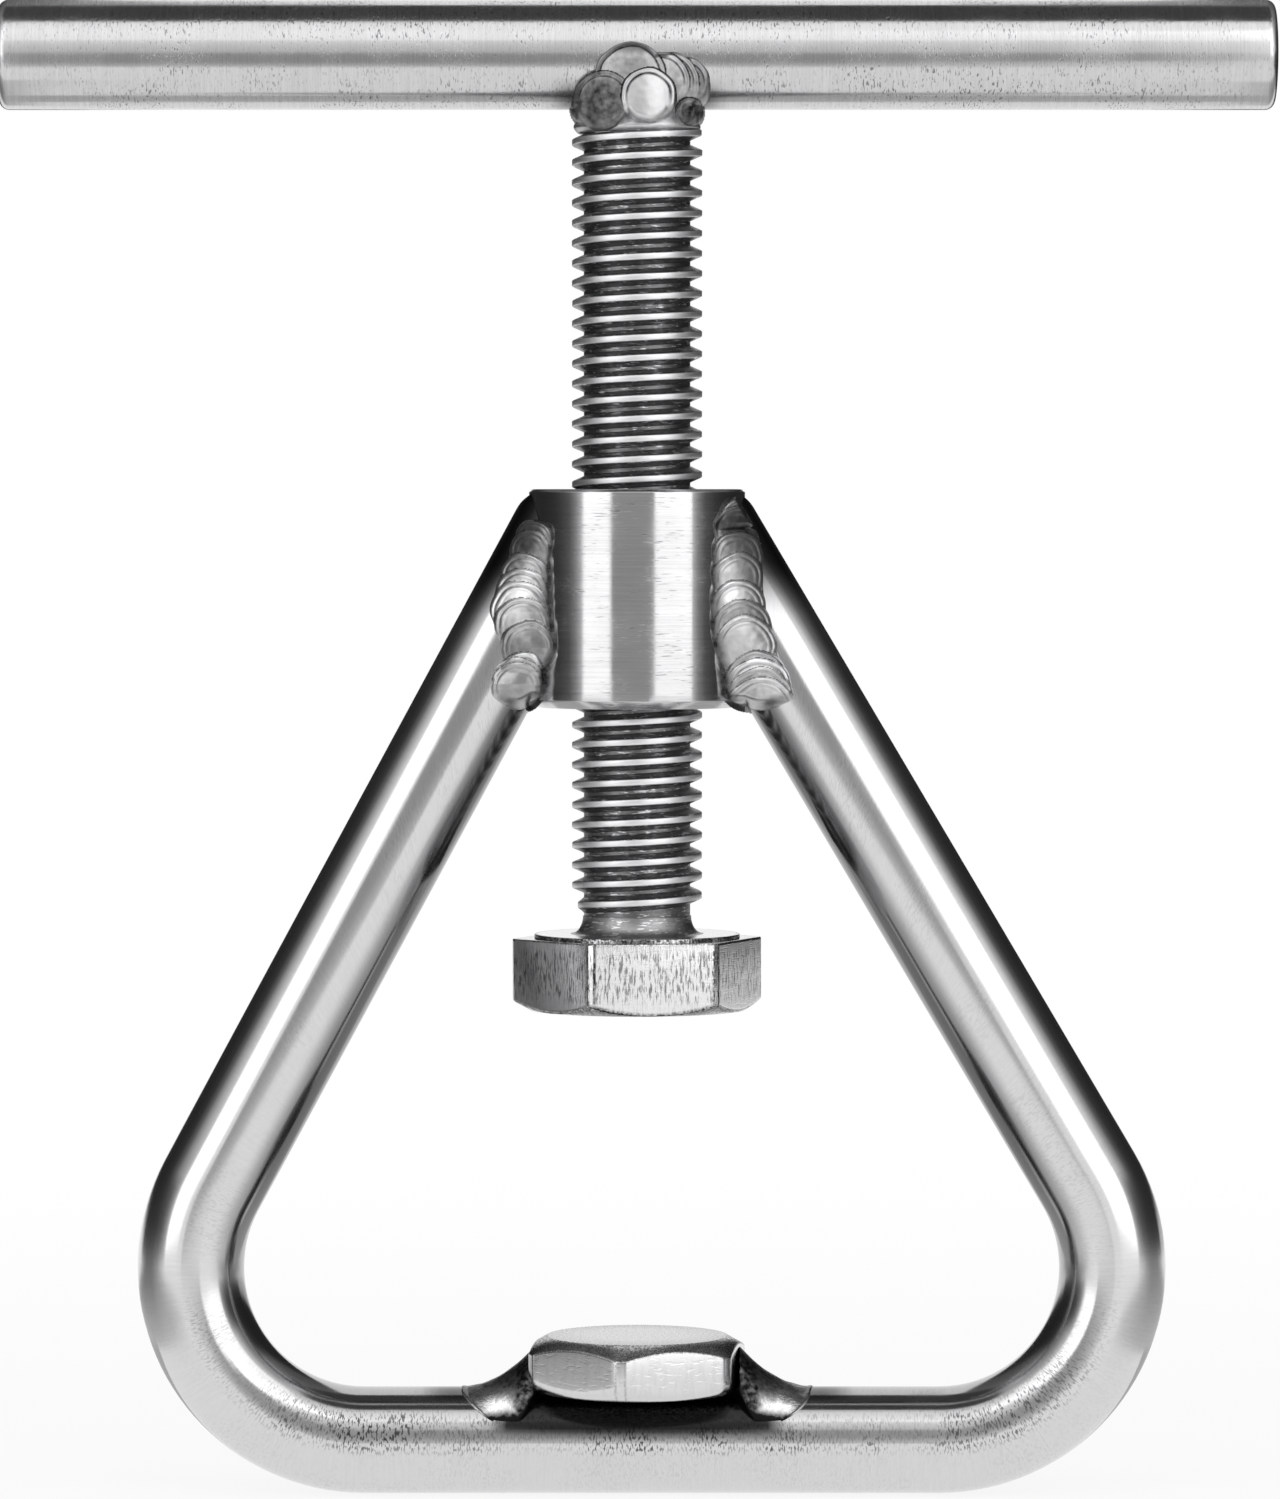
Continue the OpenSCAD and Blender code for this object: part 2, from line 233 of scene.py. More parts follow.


# 304 stainless bar, centreless ground: fine marks round its girth, so stripes stay crisp across it
# and blur along it, with short dark nicks in patches, and painted shade where its pieces ask for it
def groundBarSteel(name, finish):
    patchFrom, patchFull, patchLeast = 0.42, 0.62, 0.2
    nickSoft, bandSoft, offBand = 0.08, 0.6, 0.1
    cloudLow, cloudHigh = 0.3, 0.7
    material, tree = newMaterial(name)
    place, stain = placeAndDepth(tree)
    fine = stretchedMarks(tree, place, finish["markSpacing"], finish["markLength"], 3.0, 0.6)
    cloud = addNode(tree, "TexNoise", {"Scale": 1 / finish["cloudSize"], "Detail": 3.0}, {"Vector": place})
    # deeper marks show only in patches, as the grinding wheel left them
    patchy = addNode(tree, "MapRange", {1: patchFrom, 2: patchFull, 3: patchLeast, 4: 1.0}, {"Value": cloud})
    height = addNode(tree, "Math", {"operation": "MULTIPLY"}, {0: fine, 1: patchy})
    # nicks are most on the middle of the stock, in one band along it
    nick = stretchedMarks(tree, place, finish["nickWidth"], finish["nickLength"], 1.0)
    nicked = addNode(tree, "MapRange", {
        1: finish["nickFrom"], 2: finish["nickFrom"] + nickSoft, 3: 0.0, 4: 1.0}, {"Value": nick})
    split = addNode(tree, "SeparateXYZ", None, {0: place})
    handled = bandMask(tree, split.outputs["X"], 0.0, *finish["nickReach"], finish["nickElsewhere"])
    bandMiddle, bandHalf = finish["nickBand"]
    inBand = bandMask(tree, split.outputs["Y"], bandMiddle, bandHalf, bandHalf + bandSoft, offBand)
    there = addNode(tree, "Math", {"operation": "MULTIPLY"}, {0: inBand, 1: handled})
    nickShare = addNode(tree, "Math", {"operation": "MULTIPLY"}, {0: patchy, 1: there})
    nickPatch = addNode(tree, "Math", {"operation": "MULTIPLY"}, {0: nicked, 1: nickShare})
    relief = addNode(tree, "Math", {"operation": "SUBTRACT"}, {0: height, 1: nickPatch})
    bump = addNode(tree, "Bump", {"Strength": finish["markStrength"], "Distance": finish["markDepth"] * mm},
                   {"Height": relief})
    tone = addNode(tree, "Mix", {
        "data_type": "RGBA", 6: linearColour(finish["dark"]), 7: linearColour(finish["light"])}, {0: fine})
    nickTone = addNode(tree, "Mix", {"data_type": "RGBA", 7: linearColour(finish["nick"])},
                       {0: nickPatch, 6: tone.outputs[2]})
    # painted shade: the pieces' shade attribute pulls the colour towards the painted shade colour
    heatTone = addNode(tree, "Mix", {"data_type": "RGBA", 7: linearColour(finish["heat"])},
                       {0: stain, 6: nickTone.outputs[2]})
    rough = addNode(tree, "MapRange", {
        1: cloudLow, 2: cloudHigh, 3: finish["roughLow"], 4: finish["roughHigh"]}, {"Value": cloud})
    along = addNode(tree, "Tangent", {"direction_type": "UV_MAP", "uv_map": "stockUv"})
    steel = addNode(tree, "BsdfPrincipled", {"Metallic": 1.0, "Anisotropic": finish["anisotropy"]}, {
        "Base Color": heatTone.outputs[2], "Roughness": rough, "Normal": bump, "Tangent": along})
    addNode(tree, "OutputMaterial", None, {"Surface": steel})
    return material


# A2 stainless bolt, thread rolled: bright burnished crests, painted shade on the flanks and roots, and grease
# smears
def rolledThreadSteel(finish):
    rubFrom, rubFull = 0.57, 0.68
    dullFrom, dullFull = 0.45, 1.15
    material, tree = newMaterial("rolledThreadSteel")
    place, depth = placeAndDepth(tree)
    streak = stretchedMarks(tree, place, finish["smearHeight"], finish["smearLength"], 4.0, 0.65)
    grime = addNode(tree, "Math", {"operation": "MULTIPLY_ADD", 1: finish["streakShare"]},
                    {0: streak, 2: depth})
    # specks of bare metal where the grease is rubbed off
    rubbed = addNode(tree, "MapRange", {1: rubFrom, 2: rubFull, 3: 0.0, 4: finish["speckShare"]},
                     {"Value": streak})
    kept = addNode(tree, "Math", {"operation": "SUBTRACT"}, {0: grime, 1: rubbed})
    dulled = addNode(tree, "MapRange", {1: dullFrom, 2: dullFull, 3: 0.0, 4: 1.0}, {"Value": kept})
    dulledSteel(tree, finish, dulled, streak, finish["streakDepth"])
    return material


# hexagon bar flats, cold formed and handled: upright scratches and scuffs, and painted shade along the rims
# and corners
def scuffedHexSteel(name, finish):
    scuffFrom, scuffFull, scuffDepth = 0.56, 0.66, 0.7
    scratchSoft, bandSoft, offBand = 0.1, 0.3, 0.2
    speckFrom, speckFull, speckLow, speckHigh = 0.35, 0.65, 0.3, 1.2
    material, tree = newMaterial(name)
    place, depth = placeAndDepth(tree)
    scratch = stretchedMarks(tree, place, finish["scratchLength"], finish["scratchSpacing"], 3.0, 0.6)
    scuff = stretchedMarks(tree, place, finish["scuffSpacing"], finish["scuffLength"], 2.0)
    scuffed = addNode(tree, "MapRange", {1: scuffFrom, 2: scuffFull, 3: 0.0, 4: scuffDepth}, {"Value": scuff})
    relief = addNode(tree, "Math", {"operation": "SUBTRACT"}, {0: scratch, 1: scuffed})
    grain = addNode(tree, "TexNoise", {"Scale": 1 / finish["grainSize"], "Detail": 2.0}, {"Vector": place})
    grainy = addNode(tree, "Math", {"operation": "MULTIPLY"}, {0: grain, 1: depth})
    allRelief = addNode(tree, "Math", {"operation": "MULTIPLY_ADD", 1: finish["grainShare"]},
                        {0: grainy, 2: relief})
    crisp = addNode(tree, "MapRange", {
        1: finish["scratchFrom"], 2: finish["scratchFrom"] + scratchSoft, 3: 0.0, 4: finish["scratchShare"]},
        {"Value": scratch})
    # the scratches keep to a band between the rims
    middle, half = finish["scratchBand"]
    height = addNode(tree, "SeparateXYZ", None, {0: place})
    band = bandMask(tree, height.outputs["X"], middle, half - bandSoft, half + bandSoft, offBand)
    lines = addNode(tree, "Math", {"operation": "MULTIPLY"}, {0: crisp, 1: band})
    # the grain breaks the painted shade on the rims up into specks
    specks = addNode(tree, "MapRange", {1: speckFrom, 2: speckFull, 3: speckLow, 4: speckHigh},
                     {"Value": grain})
    rims = addNode(tree, "Math", {"operation": "MULTIPLY"}, {0: depth, 1: specks})
    shade = addNode(tree, "Math", {"operation": "ADD", "use_clamp": True}, {0: lines, 1: rims})
    dulledSteel(tree, finish, shade, allRelief, finish["scratchDepth"])
    return material


# stainless filler, TIG welded and pickled: glossy coins with dark oxide left in the ripples between them, and
# painted light and shade given coin by coin
def tigWeldSteel(name, finish):
    oxideFrom, oxideFull, skinShare = 0.3, 1.1, 0.5
    material, tree = newMaterial(name)
    place, depth = placeAndDepth(tree)
    scale = addNode(tree, "TexNoise", {"Scale": 1 / finish["scaleSize"], "Detail": 3.0}, {"Vector": place})
    skin = addNode(tree, "TexNoise", {"Scale": 1 / finish["skinSize"], "Detail": 2.0}, {"Vector": place})
    oxide = addNode(tree, "Math", {"operation": "MULTIPLY_ADD", 1: finish["scaleShare"]},
                    {0: scale, 2: depth})
    stained = addNode(tree, "MapRange", {1: oxideFrom, 2: oxideFull, 3: 0.0, 4: 1.0}, {"Value": oxide})
    relief = addNode(tree, "Math", {"operation": "MULTIPLY_ADD", 1: skinShare}, {0: skin, 2: scale})
    dulledSteel(tree, finish, stained, relief, finish["skinDepth"])
    return material


# Finishes. Sizes in millimetres; grinding marks are near 0.05 mm apart and are drawn coarser to show.
rodFinish = {
    "light": "#DEDEDF", "dark": "#D2D2D3", "nick": "#5C5C5D", "heat": "#1E1E1F", "markSpacing": 0.16,
    "markLength": 3.0, "cloudSize": 5.0, "nickWidth": 0.13, "nickLength": 0.4, "nickFrom": 0.52,
    "nickReach": (24.0, 42.0), "nickElsewhere": 0.12, "nickBand": (-0.95, 1.15),
    "markDepth": 0.012, "markStrength": 0.16, "roughLow": 0.12, "roughHigh": 0.19, "anisotropy": 0.6}
barFinish = {
    "light": "#E0E0E1", "dark": "#BEBEBF", "nick": "#868687", "heat": "#303031", "markSpacing": 0.14,
    "markLength": 4.0, "cloudSize": 4.0, "nickWidth": 0.12, "nickLength": 0.45, "nickFrom": 0.6,
    "nickReach": (36.0, 48.0), "nickElsewhere": 0.3, "nickBand": (0.0, 20.0),
    "markDepth": 0.014, "markStrength": 0.7, "roughLow": 0.15, "roughHigh": 0.24, "anisotropy": 0.6}
collarFinish = {
    "light": "#DEDEDF", "dark": "#C0C0C1", "nick": "#9C9C9D", "heat": "#303031", "markSpacing": 0.16,
    "markLength": 9.0, "cloudSize": 3.0, "nickWidth": 0.1, "nickLength": 1.2, "nickFrom": 0.64,
    "nickReach": (100.0, 120.0), "nickElsewhere": 0.5, "nickBand": (0.0, 20.0),
    "markDepth": 0.006, "markStrength": 0.7, "roughLow": 0.11, "roughHigh": 0.19, "anisotropy": 0.6}
threadFinish = {
    "light": "#EEEEEF", "dark": "#626263", "smearHeight": 0.14, "smearLength": 1.1, "speckShare": 1.2,
    "streakShare": 0.5, "streakDepth": 0.024, "roughLow": 0.42, "roughHigh": 0.34}
headFinish = {
    "light": "#EAEAEB", "dark": "#464647", "scratchLength": 0.9, "scratchSpacing": 0.15,
    "scratchFrom": 0.5, "scratchShare": 0.75, "scratchBand": (39.3, 1.8), "scuffSpacing": 0.12,
    "scuffLength": 1.2, "grainSize": 0.2, "grainShare": 0.6,
    "scratchDepth": 0.004, "roughLow": 0.13, "roughHigh": 0.24}
anvilFinish = {
    "light": "#DADADB", "dark": "#262627", "scratchLength": 2.0, "scratchSpacing": 0.5,
    "scratchFrom": 0.5, "scratchShare": 0.06, "scratchBand": (9.8, 1.5), "scuffSpacing": 0.3,
    "scuffLength": 0.8, "grainSize": 0.18, "grainShare": 2.4,
    "scratchDepth": 0.004, "roughLow": 0.16, "roughHigh": 0.36}
beadFinish = {
    "light": "#E2E2E3", "dark": "#1A1A1B", "scaleSize": 0.6, "skinSize": 0.16, "scaleShare": 0.3,
    "skinDepth": 0.008, "roughLow": 0.32, "roughHigh": 0.43}
coinFinish = {
    "light": "#D8D8D9", "dark": "#1E1E1F", "scaleSize": 0.5, "skinSize": 0.16, "scaleShare": 0.5,
    "skinDepth": 0.01, "roughLow": 0.4, "roughHigh": 0.46}
filletFinish = {
    "light": "#E2E2E3", "dark": "#1E1E1F", "scaleSize": 0.4, "skinSize": 0.14, "scaleShare": 0.6,
    "skinDepth": 0.03, "roughLow": 0.18, "roughHigh": 0.4}
rodSteel = groundBarSteel("centrelessGroundRodSteel", rodFinish)
barSteel = groundBarSteel("centrelessGroundBarSteel", barFinish)
collarSteel = groundBarSteel("turnedCollarSteel", collarFinish)
threadSteel = rolledThreadSteel(threadFinish)
headSteel = scuffedHexSteel("coldFormedHexSteel", headFinish)
anvilSteel = scuffedHexSteel("tumbledHexSteel", anvilFinish)
beadSteel = tigWeldSteel("tigBeadSteel", beadFinish)
coinSteel = tigWeldSteel("tigCoinSteel", coinFinish)
filletSteel = tigWeldSteel("tigFilletSteel", filletFinish)
print("materials:", len(bpy.data.materials))

# Bent rod: one ground bar from the left end of the collar, round both bends, to the right end
rod = {
    "bendRadius": 13.0, "shoulderRound": 3.0, "around": 96, "bendStep": 3.0, "legRings": 40, "legSpread": 1.5,
    "baseRings": 60, "hiddenEnd": 5.6, "endSteps": 7, "endSink": 0.4, "endSlope": 0.5,
    "stain": 0.97, "shadeReach": (9.6, 11.6), "shadeRise": 0.17, "shadeCurve": 0.06,
    "shadeEdge": (0.06, 0.14), "baseTop": 1.01,
    "topShade": 0.8, "topReach": (14.0, 18.0), "topRise": (0.7, 0.9),
    "shoulderShade": 0.93, "shoulderReach": (65.0, 70.0),
    "dull": (0.3, 0.65), "dullFrom": (0.38, 0.7), "paintedDarkHeight": (14.0, 28.0)}
rodLow, rodHigh = boxOf("frame_rod")
collarLow, collarHigh = boxOf("collar")
rodRadius = (rodHigh.y - rodLow.y) / 2
rodMiddle = rodLow.z + rodRadius
collarRadius = (collarHigh.x - collarLow.x) / 2
bendHeight = rodMiddle + rod["bendRadius"]
aimHeight = (collarLow.z + collarHigh.z) / 2


# a leg in its own plane, x outward from the screw: its lean, its bend's centre and its straight start
def legOf(side):
    reach = (rodHigh.x if side == right else -rodLow.x) - rodRadius - rod["bendRadius"]
    run, rise = reach - collarRadius, aimHeight - bendHeight
    lean = math.atan2(run, rise) + math.asin(rod["bendRadius"] / math.hypot(run, rise))
    bend = Vector((reach, bendHeight))
    out = Vector((math.cos(lean), math.sin(lean)))
    return {"lean": lean, "bend": bend, "start": bend + rod["bendRadius"] * out, "out": out,
            "up": Vector((-math.sin(lean), math.cos(lean)))}


# the centre of the rounding of a leg's upper end
def shoulderMiddle(leg):
    soft = rod["shoulderRound"]
    z = collarHigh.z - soft
    outer = collarRadius + (aimHeight - z) * math.tan(leg["lean"]) + rodRadius / math.cos(leg["lean"])
    return Vector((outer - soft / math.cos(leg["lean"]), z))


# where one line of a leg's surface ends, and the ground-off way from there to inside the collar
def legEnd(leg, offset):
    soft = rod["shoulderRound"]
    middle = shoulderMiddle(leg)
    begin = leg["start"] + offset * leg["out"]
    hidden = (begin.x - rod["hiddenEnd"]) / -leg["up"].x
    length = (collarHigh.z - begin.y) / leg["up"].y
    away = (begin - middle).dot(leg["out"])
    angle = math.pi / 2
    if abs(away) <= soft:
        onRound = (middle - begin).dot(leg["up"]) + math.sqrt(max(0.0, soft ** 2 - away ** 2))
        place = begin + onRound * leg["up"] - middle
        if place.x >= 0:
            length, angle = onRound, math.atan2(place.y, place.x)
    if hidden <= length:
        return hidden, [begin + hidden * leg["up"]] * rod["endSteps"]
    place = begin + length * leg["up"]
    arc = soft * (math.pi / 2 - angle)
    flatFrom = middle.x if arc > 0 else place.x
    wall = math.sqrt(collarRadius ** 2 - rodRadius ** 2 + offset ** 2)
    way = []
    for k in range(1, rod["endSteps"] + 1):
        far = (arc + flatFrom - rod["hiddenEnd"]) * k / rod["endSteps"]
        if far < arc:
            a = angle + far / soft
            way.append(middle + soft * Vector((math.cos(a), math.sin(a))))
        else:    # inside the collar's wall it sinks under the collar's top
            x = flatFrom - (far - arc)
            sink = min(rod["endSink"], rod["endSlope"] * max(0.0, wall - x))
            way.append(Vector((x, collarHigh.z - sink)))
    return length, way


# how much painted shade the rod has at a point that faces the inside of the triangle by a share
def rodStain(point, inward):
    x, z = abs(point[0]), point[2]
    # the inside of the triangle gets painted shade and reflection, more of it higher up
    low, high = rod["dull"]
    stain = (low + (high - low) * smoothStep(*rod["paintedDarkHeight"], z)) * smoothStep(*rod["dullFrom"], inward)
    # painted shade on the upper side under the anvil, on the top near the anvil, and on the shoulders
    rise = (z - rodMiddle) / rodRadius
    if rise <= rod["baseTop"]:
        near = 1 - smoothStep(*rod["shadeReach"], x)
        edge = rod["shadeRise"] + rod["shadeCurve"] * (x / rod["shadeReach"][1]) ** 2
        below, above = rod["shadeEdge"]
        stain = max(stain, rod["stain"] * near * smoothStep(edge - below, edge + above, rise))
        topNear = 1 - smoothStep(*rod["topReach"], x)
        stain = max(stain, rod["topShade"] * topNear * smoothStep(*rod["topRise"], rise))
    return max(stain, rod["shoulderShade"] * smoothStep(*rod["shoulderReach"], z))


def rodShape():
    around = rod["around"]
    turns = [2 * math.pi * j / around for j in range(around)]
    girth = [(rodRadius * math.cos(a), rodRadius * math.sin(a)) for a in turns]    # outward and back
    legs = {side: legOf(side) for side in (left, right)}
    sides = {}
    for side, leg in legs.items():
        ends = [legEnd(leg, offset) for offset, _ in girth]
        rows = []    # in the leg's own plane
        sweep = math.pi / 2 + leg["lean"]
        count = round(math.degrees(sweep) / rod["bendStep"])
        for k in range(count + 1):
            b = -math.pi / 2 + sweep * k / count
            towards = Vector((math.cos(b), math.sin(b)))
            rows.append([leg["bend"] + (rod["bendRadius"] + offset) * towards for offset, _ in girth])
        for k in range(1, rod["legRings"] + 1):
            share = 1 - (1 - k / rod["legRings"]) ** rod["legSpread"]
            rows.append([leg["start"] + offset * leg["out"] + share * length * leg["up"]
                         for (offset, _), (length, _) in zip(girth, ends)])
        for k in range(rod["endSteps"]):
            rows.append([way[k] for _, way in ends])
        sides[side] = [[(side * at.x, y, at.y) for at, (_, y) in zip(row, girth)] for row in rows]
    base = []
    first, last = -legs[left]["bend"].x, legs[right]["bend"].x
    for k in range(1, rod["baseRings"]):
        x = first + (last - first) * k / rod["baseRings"]
        base.append([(x, y, rodMiddle - offset) for offset, y in girth])
    allRows = sides[left][::-1] + base + sides[right]
    # distance along the rod for the grinding marks, taken at the middle of each ring
    points, coords, stains, travelled, lastMiddle = [], [], [], 0.0, None
    for row in allRows:
        middle = sum((Vector(p) for p in row), Vector()) / around
        travelled += (middle - lastMiddle).length if lastMiddle else 0.0
        lastMiddle = middle
        for point, (offset, y) in zip(row, girth):
            points.append(point)
            coords.append((travelled, offset, y))
            stains.append(rodStain(point, -offset / rodRadius))
    coords = [(along - travelled / 2, c, s) for along, c, s in coords]
    return (points, tubeFaces(len(allRows), around), coords), stains


shape, stains = rodShape()
makePiece("bentRod", shape, rodSteel, "frame", ["frame_rod"], stains)
print("bent rod done")

# Screw: rolled thread with rounded crests and roots, then the cold-formed head and its neck
thread = {
    "crestRadius": 4.9, "pitch": 1.5, "depthPerPitch": 0.6134, "turnSteps": 72, "fade": 0.2, "tip": -0.9,
    "topRun": 0.75, "neckRun": 1.0, "neck": -0.1, "belowHead": 1.0, "intoWeld": 1.2, "crestWear": 0.03,
    "wearAround": 5, "wearAlong": 0.9, "leastRise": 0.02, "rootPaintedDark": 0.85,
    # half pitches from the crest's middle, height and painted shade
    "form": [(-1.0, 0.0, 0.85), (-0.93, 0.06, 0.8), (-0.68, 0.45, 0.75), (-0.43, 0.85, 0.9),
             (-0.33, 0.96, 0.5), (-0.25, 0.98, 0.0), (0.25, 0.98, 0.0), (0.33, 0.96, 0.5),
             (0.43, 0.85, 0.9), (0.68, 0.45, 0.75), (0.93, 0.06, 0.8), (1.0, 0.0, 0.85)]}
head = {
    "height": 5.4, "acrossFlats": 16.5, "turn": 8.7, "chamfer": 0.75, "cornerCut": 0.14, "cornerRound": 0.15,
    "edgeRound": 0.2, "cornerLine": 0.95, "cornerShade": 0.9,
    # painted shade row by row of the outline: dark on the lower face and chamfer, and along the top edge
    "shades": [0.4, 0.4, 0.4, 0.9, 0.7, 0.0, 0.0, 0.8, 0.9, 0.3, 0.1, 0.1],
    "neckRadius": 4.05, "neckRise": 1.35, "neckFlare": 0.95, "neckShade": 0.7, "neckAround": 72,
    "neckSteps": 8, "neckSink": 0.2, "neckLap": 0.1,
    "washerRadius": 7.7, "washerRise": 0.3, "washerSink": 0.5, "washerHole": 2.0, "washerEdge": 0.08,
    "washerRim": (0.35, 0.2), "washerShades": (0.95, 0.15), "washerAround": 96}
screwLow, screwHigh = boxOf("screw")
headTop = screwLow.z + head["height"]
washerTop = headTop + head["washerRise"]


# the helical skin from zLow to zHigh; a negative depth makes ridges that point inward
def threadShape(zLow, zHigh, zFirst, turns, core, depth, half, steps, wear):
    form = thread["form"]
    count, last = len(form), round(turns * steps)
    pitch = thread["pitch"]
    points, crease = [], []
    for i in range(last + 1):
        a = 2 * math.pi * (i / steps + zFirst / pitch)
        z = zFirst + pitch * i / steps
        fade = smoothStep(0, thread["fade"] * steps, min(i, last - i))
        at = Vector((math.cos(a), math.sin(a), 0)) * thread["wearAround"]
        worn = wear * (noise.noise((at.x, at.y, z * thread["wearAlong"])) - 0.5)
        for share, rise, dull in form:
            r = core + depth * rise * max(fade, thread["leastRise"]) + worn * rise * fade
            points.append((r * math.cos(a), r * math.sin(a), z + half * share))
            crease.append(dull)
    low = len(points)    # the rings of the core below and above the ridge
    high = low + steps
    for z in (zLow, zHigh):
        for j in range(steps):
            a = 2 * math.pi * (j / steps + zFirst / pitch)
            points.append((core * math.cos(a), core * math.sin(a), z))
            crease.append(thread["rootPaintedDark"])
    faces = []
    for i in range(last):
        for k in range(count - 1):
            p = i * count + k
            faces.append((p, p + count, p + count + 1, p + 1))
    for i in range(last - steps):    # the groove between two turns
        p, q = i * count + count - 1, (i + steps) * count
        faces.append((p, p + count, q + count, q))
    for j in range(steps - 1):
        faces.append((low + j, low + j + 1, (j + 1) * count, j * count))
    for j in range(last - steps + 1, last):
        p = j * count + count - 1
        faces.append((p, p + count, high + (j + 1) % steps, high + j % steps))
    # the two ends of the ridge
    first = last - steps
    faces.append((high - 1, (steps - 1) * count, steps * count, count - 1, 0, low))
    faces.append(tuple(range(count)))
    p, q = first * count + count - 1, (first + 1) * count + count - 1
    faces.append((p, last * count, last * count + count - 1, high + first % steps,
                  high + (first + 1) % steps, q))
    faces.append(tuple(last * count + k for k in range(count)))
    coords = [(z, x, y) for x, y, z in points]
    return (points, faces, coords), crease, tuple(range(low, high)), tuple(range(high, high + steps))


crestRadius = thread["crestRadius"]
threadDepth = thread["depthPerPitch"] * thread["pitch"]
threadHalf = thread["pitch"] / 16 + threadDepth * math.tan(math.radians(30))
threadFirst = washerTop + thread["neck"] + threadHalf
threadTurns = math.floor((screwHigh.z - thread["tip"] - threadHalf - threadFirst) / thread["pitch"])
threadTurns += thread["topRun"] - thread["neckRun"]
shape, crease, lowRing, highRing = threadShape(
    headTop - thread["belowHead"], screwHigh.z + thread["intoWeld"],
    threadFirst + thread["neckRun"] * thread["pitch"], threadTurns, crestRadius - threadDepth, threadDepth,
    threadHalf, thread["turnSteps"], thread["crestWear"])
shape[1].extend([lowRing, highRing])
makePiece("screwThread", shape, threadSteel, "screw", ["screw"], crease)


# angles round a hexagon, close together at its corners
def hexAngles():
    shares = [0, 0.25, 0.5, 0.7, 0.82, 0.88, 0.92, 0.95, 0.97, 0.985]
    shares = [-share for share in shares[:0:-1]] + shares + [1]
    return [math.radians(60 * side + 30 * share) for side in range(6) for share in shares]


# distance from the middle to a hexagon's side with rounded corners
def hexRadius(angle, flat, corner):
    sixth = math.radians(30)
    off = math.radians(abs((math.degrees(angle) + 30) % 60 - 30))
    if flat * math.tan(off) <= (flat - corner) * math.tan(sixth):
        return flat / math.cos(off)
    reach = (flat - corner) / math.cos(sixth)
    fromCorner = sixth - off
    across = reach * math.sin(fromCorner)
    return reach * math.cos(fromCorner) + math.sqrt(max(0.0, corner ** 2 - across ** 2))


# a hexagonal block whose corners are turned off at 30 degrees, or rounded below and left whole above
def hexShape(sizes, zLow, zHigh, topChamfer):
    flat = sizes["acrossFlats"] / 2
    slope = math.tan(math.radians(60))
    soft = sizes["edgeRound"]
    cornerReach = flat / math.cos(math.radians(30)) - sizes["cornerCut"]
    flatRing = cornerReach - sizes["chamfer"] * slope
    angles = hexAngles()
    lines = []
    for a in angles:
        r = min(hexRadius(a, flat, sizes["cornerRound"]), cornerReach)
        # heights from a face and radii, from near its middle out over its rim
        cut = max(0.0, (r - flatRing) / slope)
        lower = upper = [
            (0, flatRing * 0.5), (0, flatRing - soft * 0.7), (soft * 0.1, flatRing),
            (cut - soft * 0.4, max(flatRing, r - soft * 0.7)), (cut + soft * 0.3, r - soft * 0.1),
            (cut + soft * 1.1, r)]
        if "rimRing" in sizes:
            ring, height = sizes["rimRing"], sizes["rimHeight"] + sizes["rimRise"] * (r - flat)
            arc = [math.radians(90 - 22.5 * k) for k in range(5)]
            lower = [(0, ring * 0.5)]
            lower += [(height * (1 - math.sin(b)), ring + (r - ring) * math.cos(b)) for b in arc]
            lower.append((height + soft, r))
        if not topChamfer:
            upper = [(0, flatRing * 0.5), (0, r * 0.8), (0, r - soft), (soft * 0.08, r - soft * 0.3),
                     (soft * 0.3, r - soft * 0.08), (soft, r)]
        lines.append([(zLow + up, radius) for up, radius in lower]
                     + [(zHigh - down, radius) for down, radius in upper[::-1]])
    points, crease = [], []
    turn = math.radians(sizes["turn"] + 30)
    lineHalf = 0.03
    for k, shade in enumerate(sizes["shades"]):
        for a, line in zip(angles, lines):
            z, r = line[k]
            points.append((r * math.cos(a + turn), r * math.sin(a + turn), z))
            # a painted shade line each side of the broken corner
            share = abs((math.degrees(a) + 30) % 60 - 30) / 30
            edge = max(0.0, 1 - abs(share - sizes["cornerLine"]) / lineHalf) if r >= flat else 0.0
            crease.append(max(shade, sizes["cornerShade"] * edge))
    coords = [(z, x, y) for x, y, z in points]
    return (points, tubeFaces(len(sizes["shades"]), len(angles)), coords), crease


shape, crease = hexShape(head, screwLow.z, headTop, False)
makePiece("screwHead", shape, headSteel, "screw", (), crease)
washerRadius, washerFoot = head["washerRadius"], headTop - head["washerSink"]
flatRim, darkRim = head["washerRim"]
outline = softOutline([
    [washerFoot, head["washerHole"]], [washerFoot, washerRadius],
    [washerTop, washerRadius, head["washerEdge"]], [washerTop, washerRadius - flatRim],
    [washerTop, head["washerHole"]]], 4)
shape = latheShape(outline, head["washerAround"], "z")
# the washer face's rim gets a line of painted shade
rimShade, faceShade = head["washerShades"]
rim = []
for _, radius in outline:
    rim += [rimShade if radius > washerRadius - darkRim else faceShade] * head["washerAround"]
makePiece("washerFace", shape, headSteel, "screw", (), rim)
neck = [(washerTop - head["neckSink"], head["neckRadius"] + head["neckFlare"] + head["neckLap"])]
for k in range(head["neckSteps"] + 1):    # the fillet over the head
    a = math.radians(90 * k / head["neckSteps"])
    neck.append((washerTop + head["neckRise"] * (1 - math.cos(a)),
                 head["neckRadius"] + head["neckFlare"] * (1 - math.sin(a))))
neck.append((washerTop + head["neckRise"] + thread["neck"],
             crestRadius - threadDepth - head["neckLap"]))
shape = latheShape(neck, head["neckAround"], "z")
# the neck gets painted shade, like the thread's roots
makePiece("screwNeck", shape, threadSteel, "screw", (), [head["neckShade"]] * len(shape[0]))
print("screw done:", threadTurns, "turns of thread")

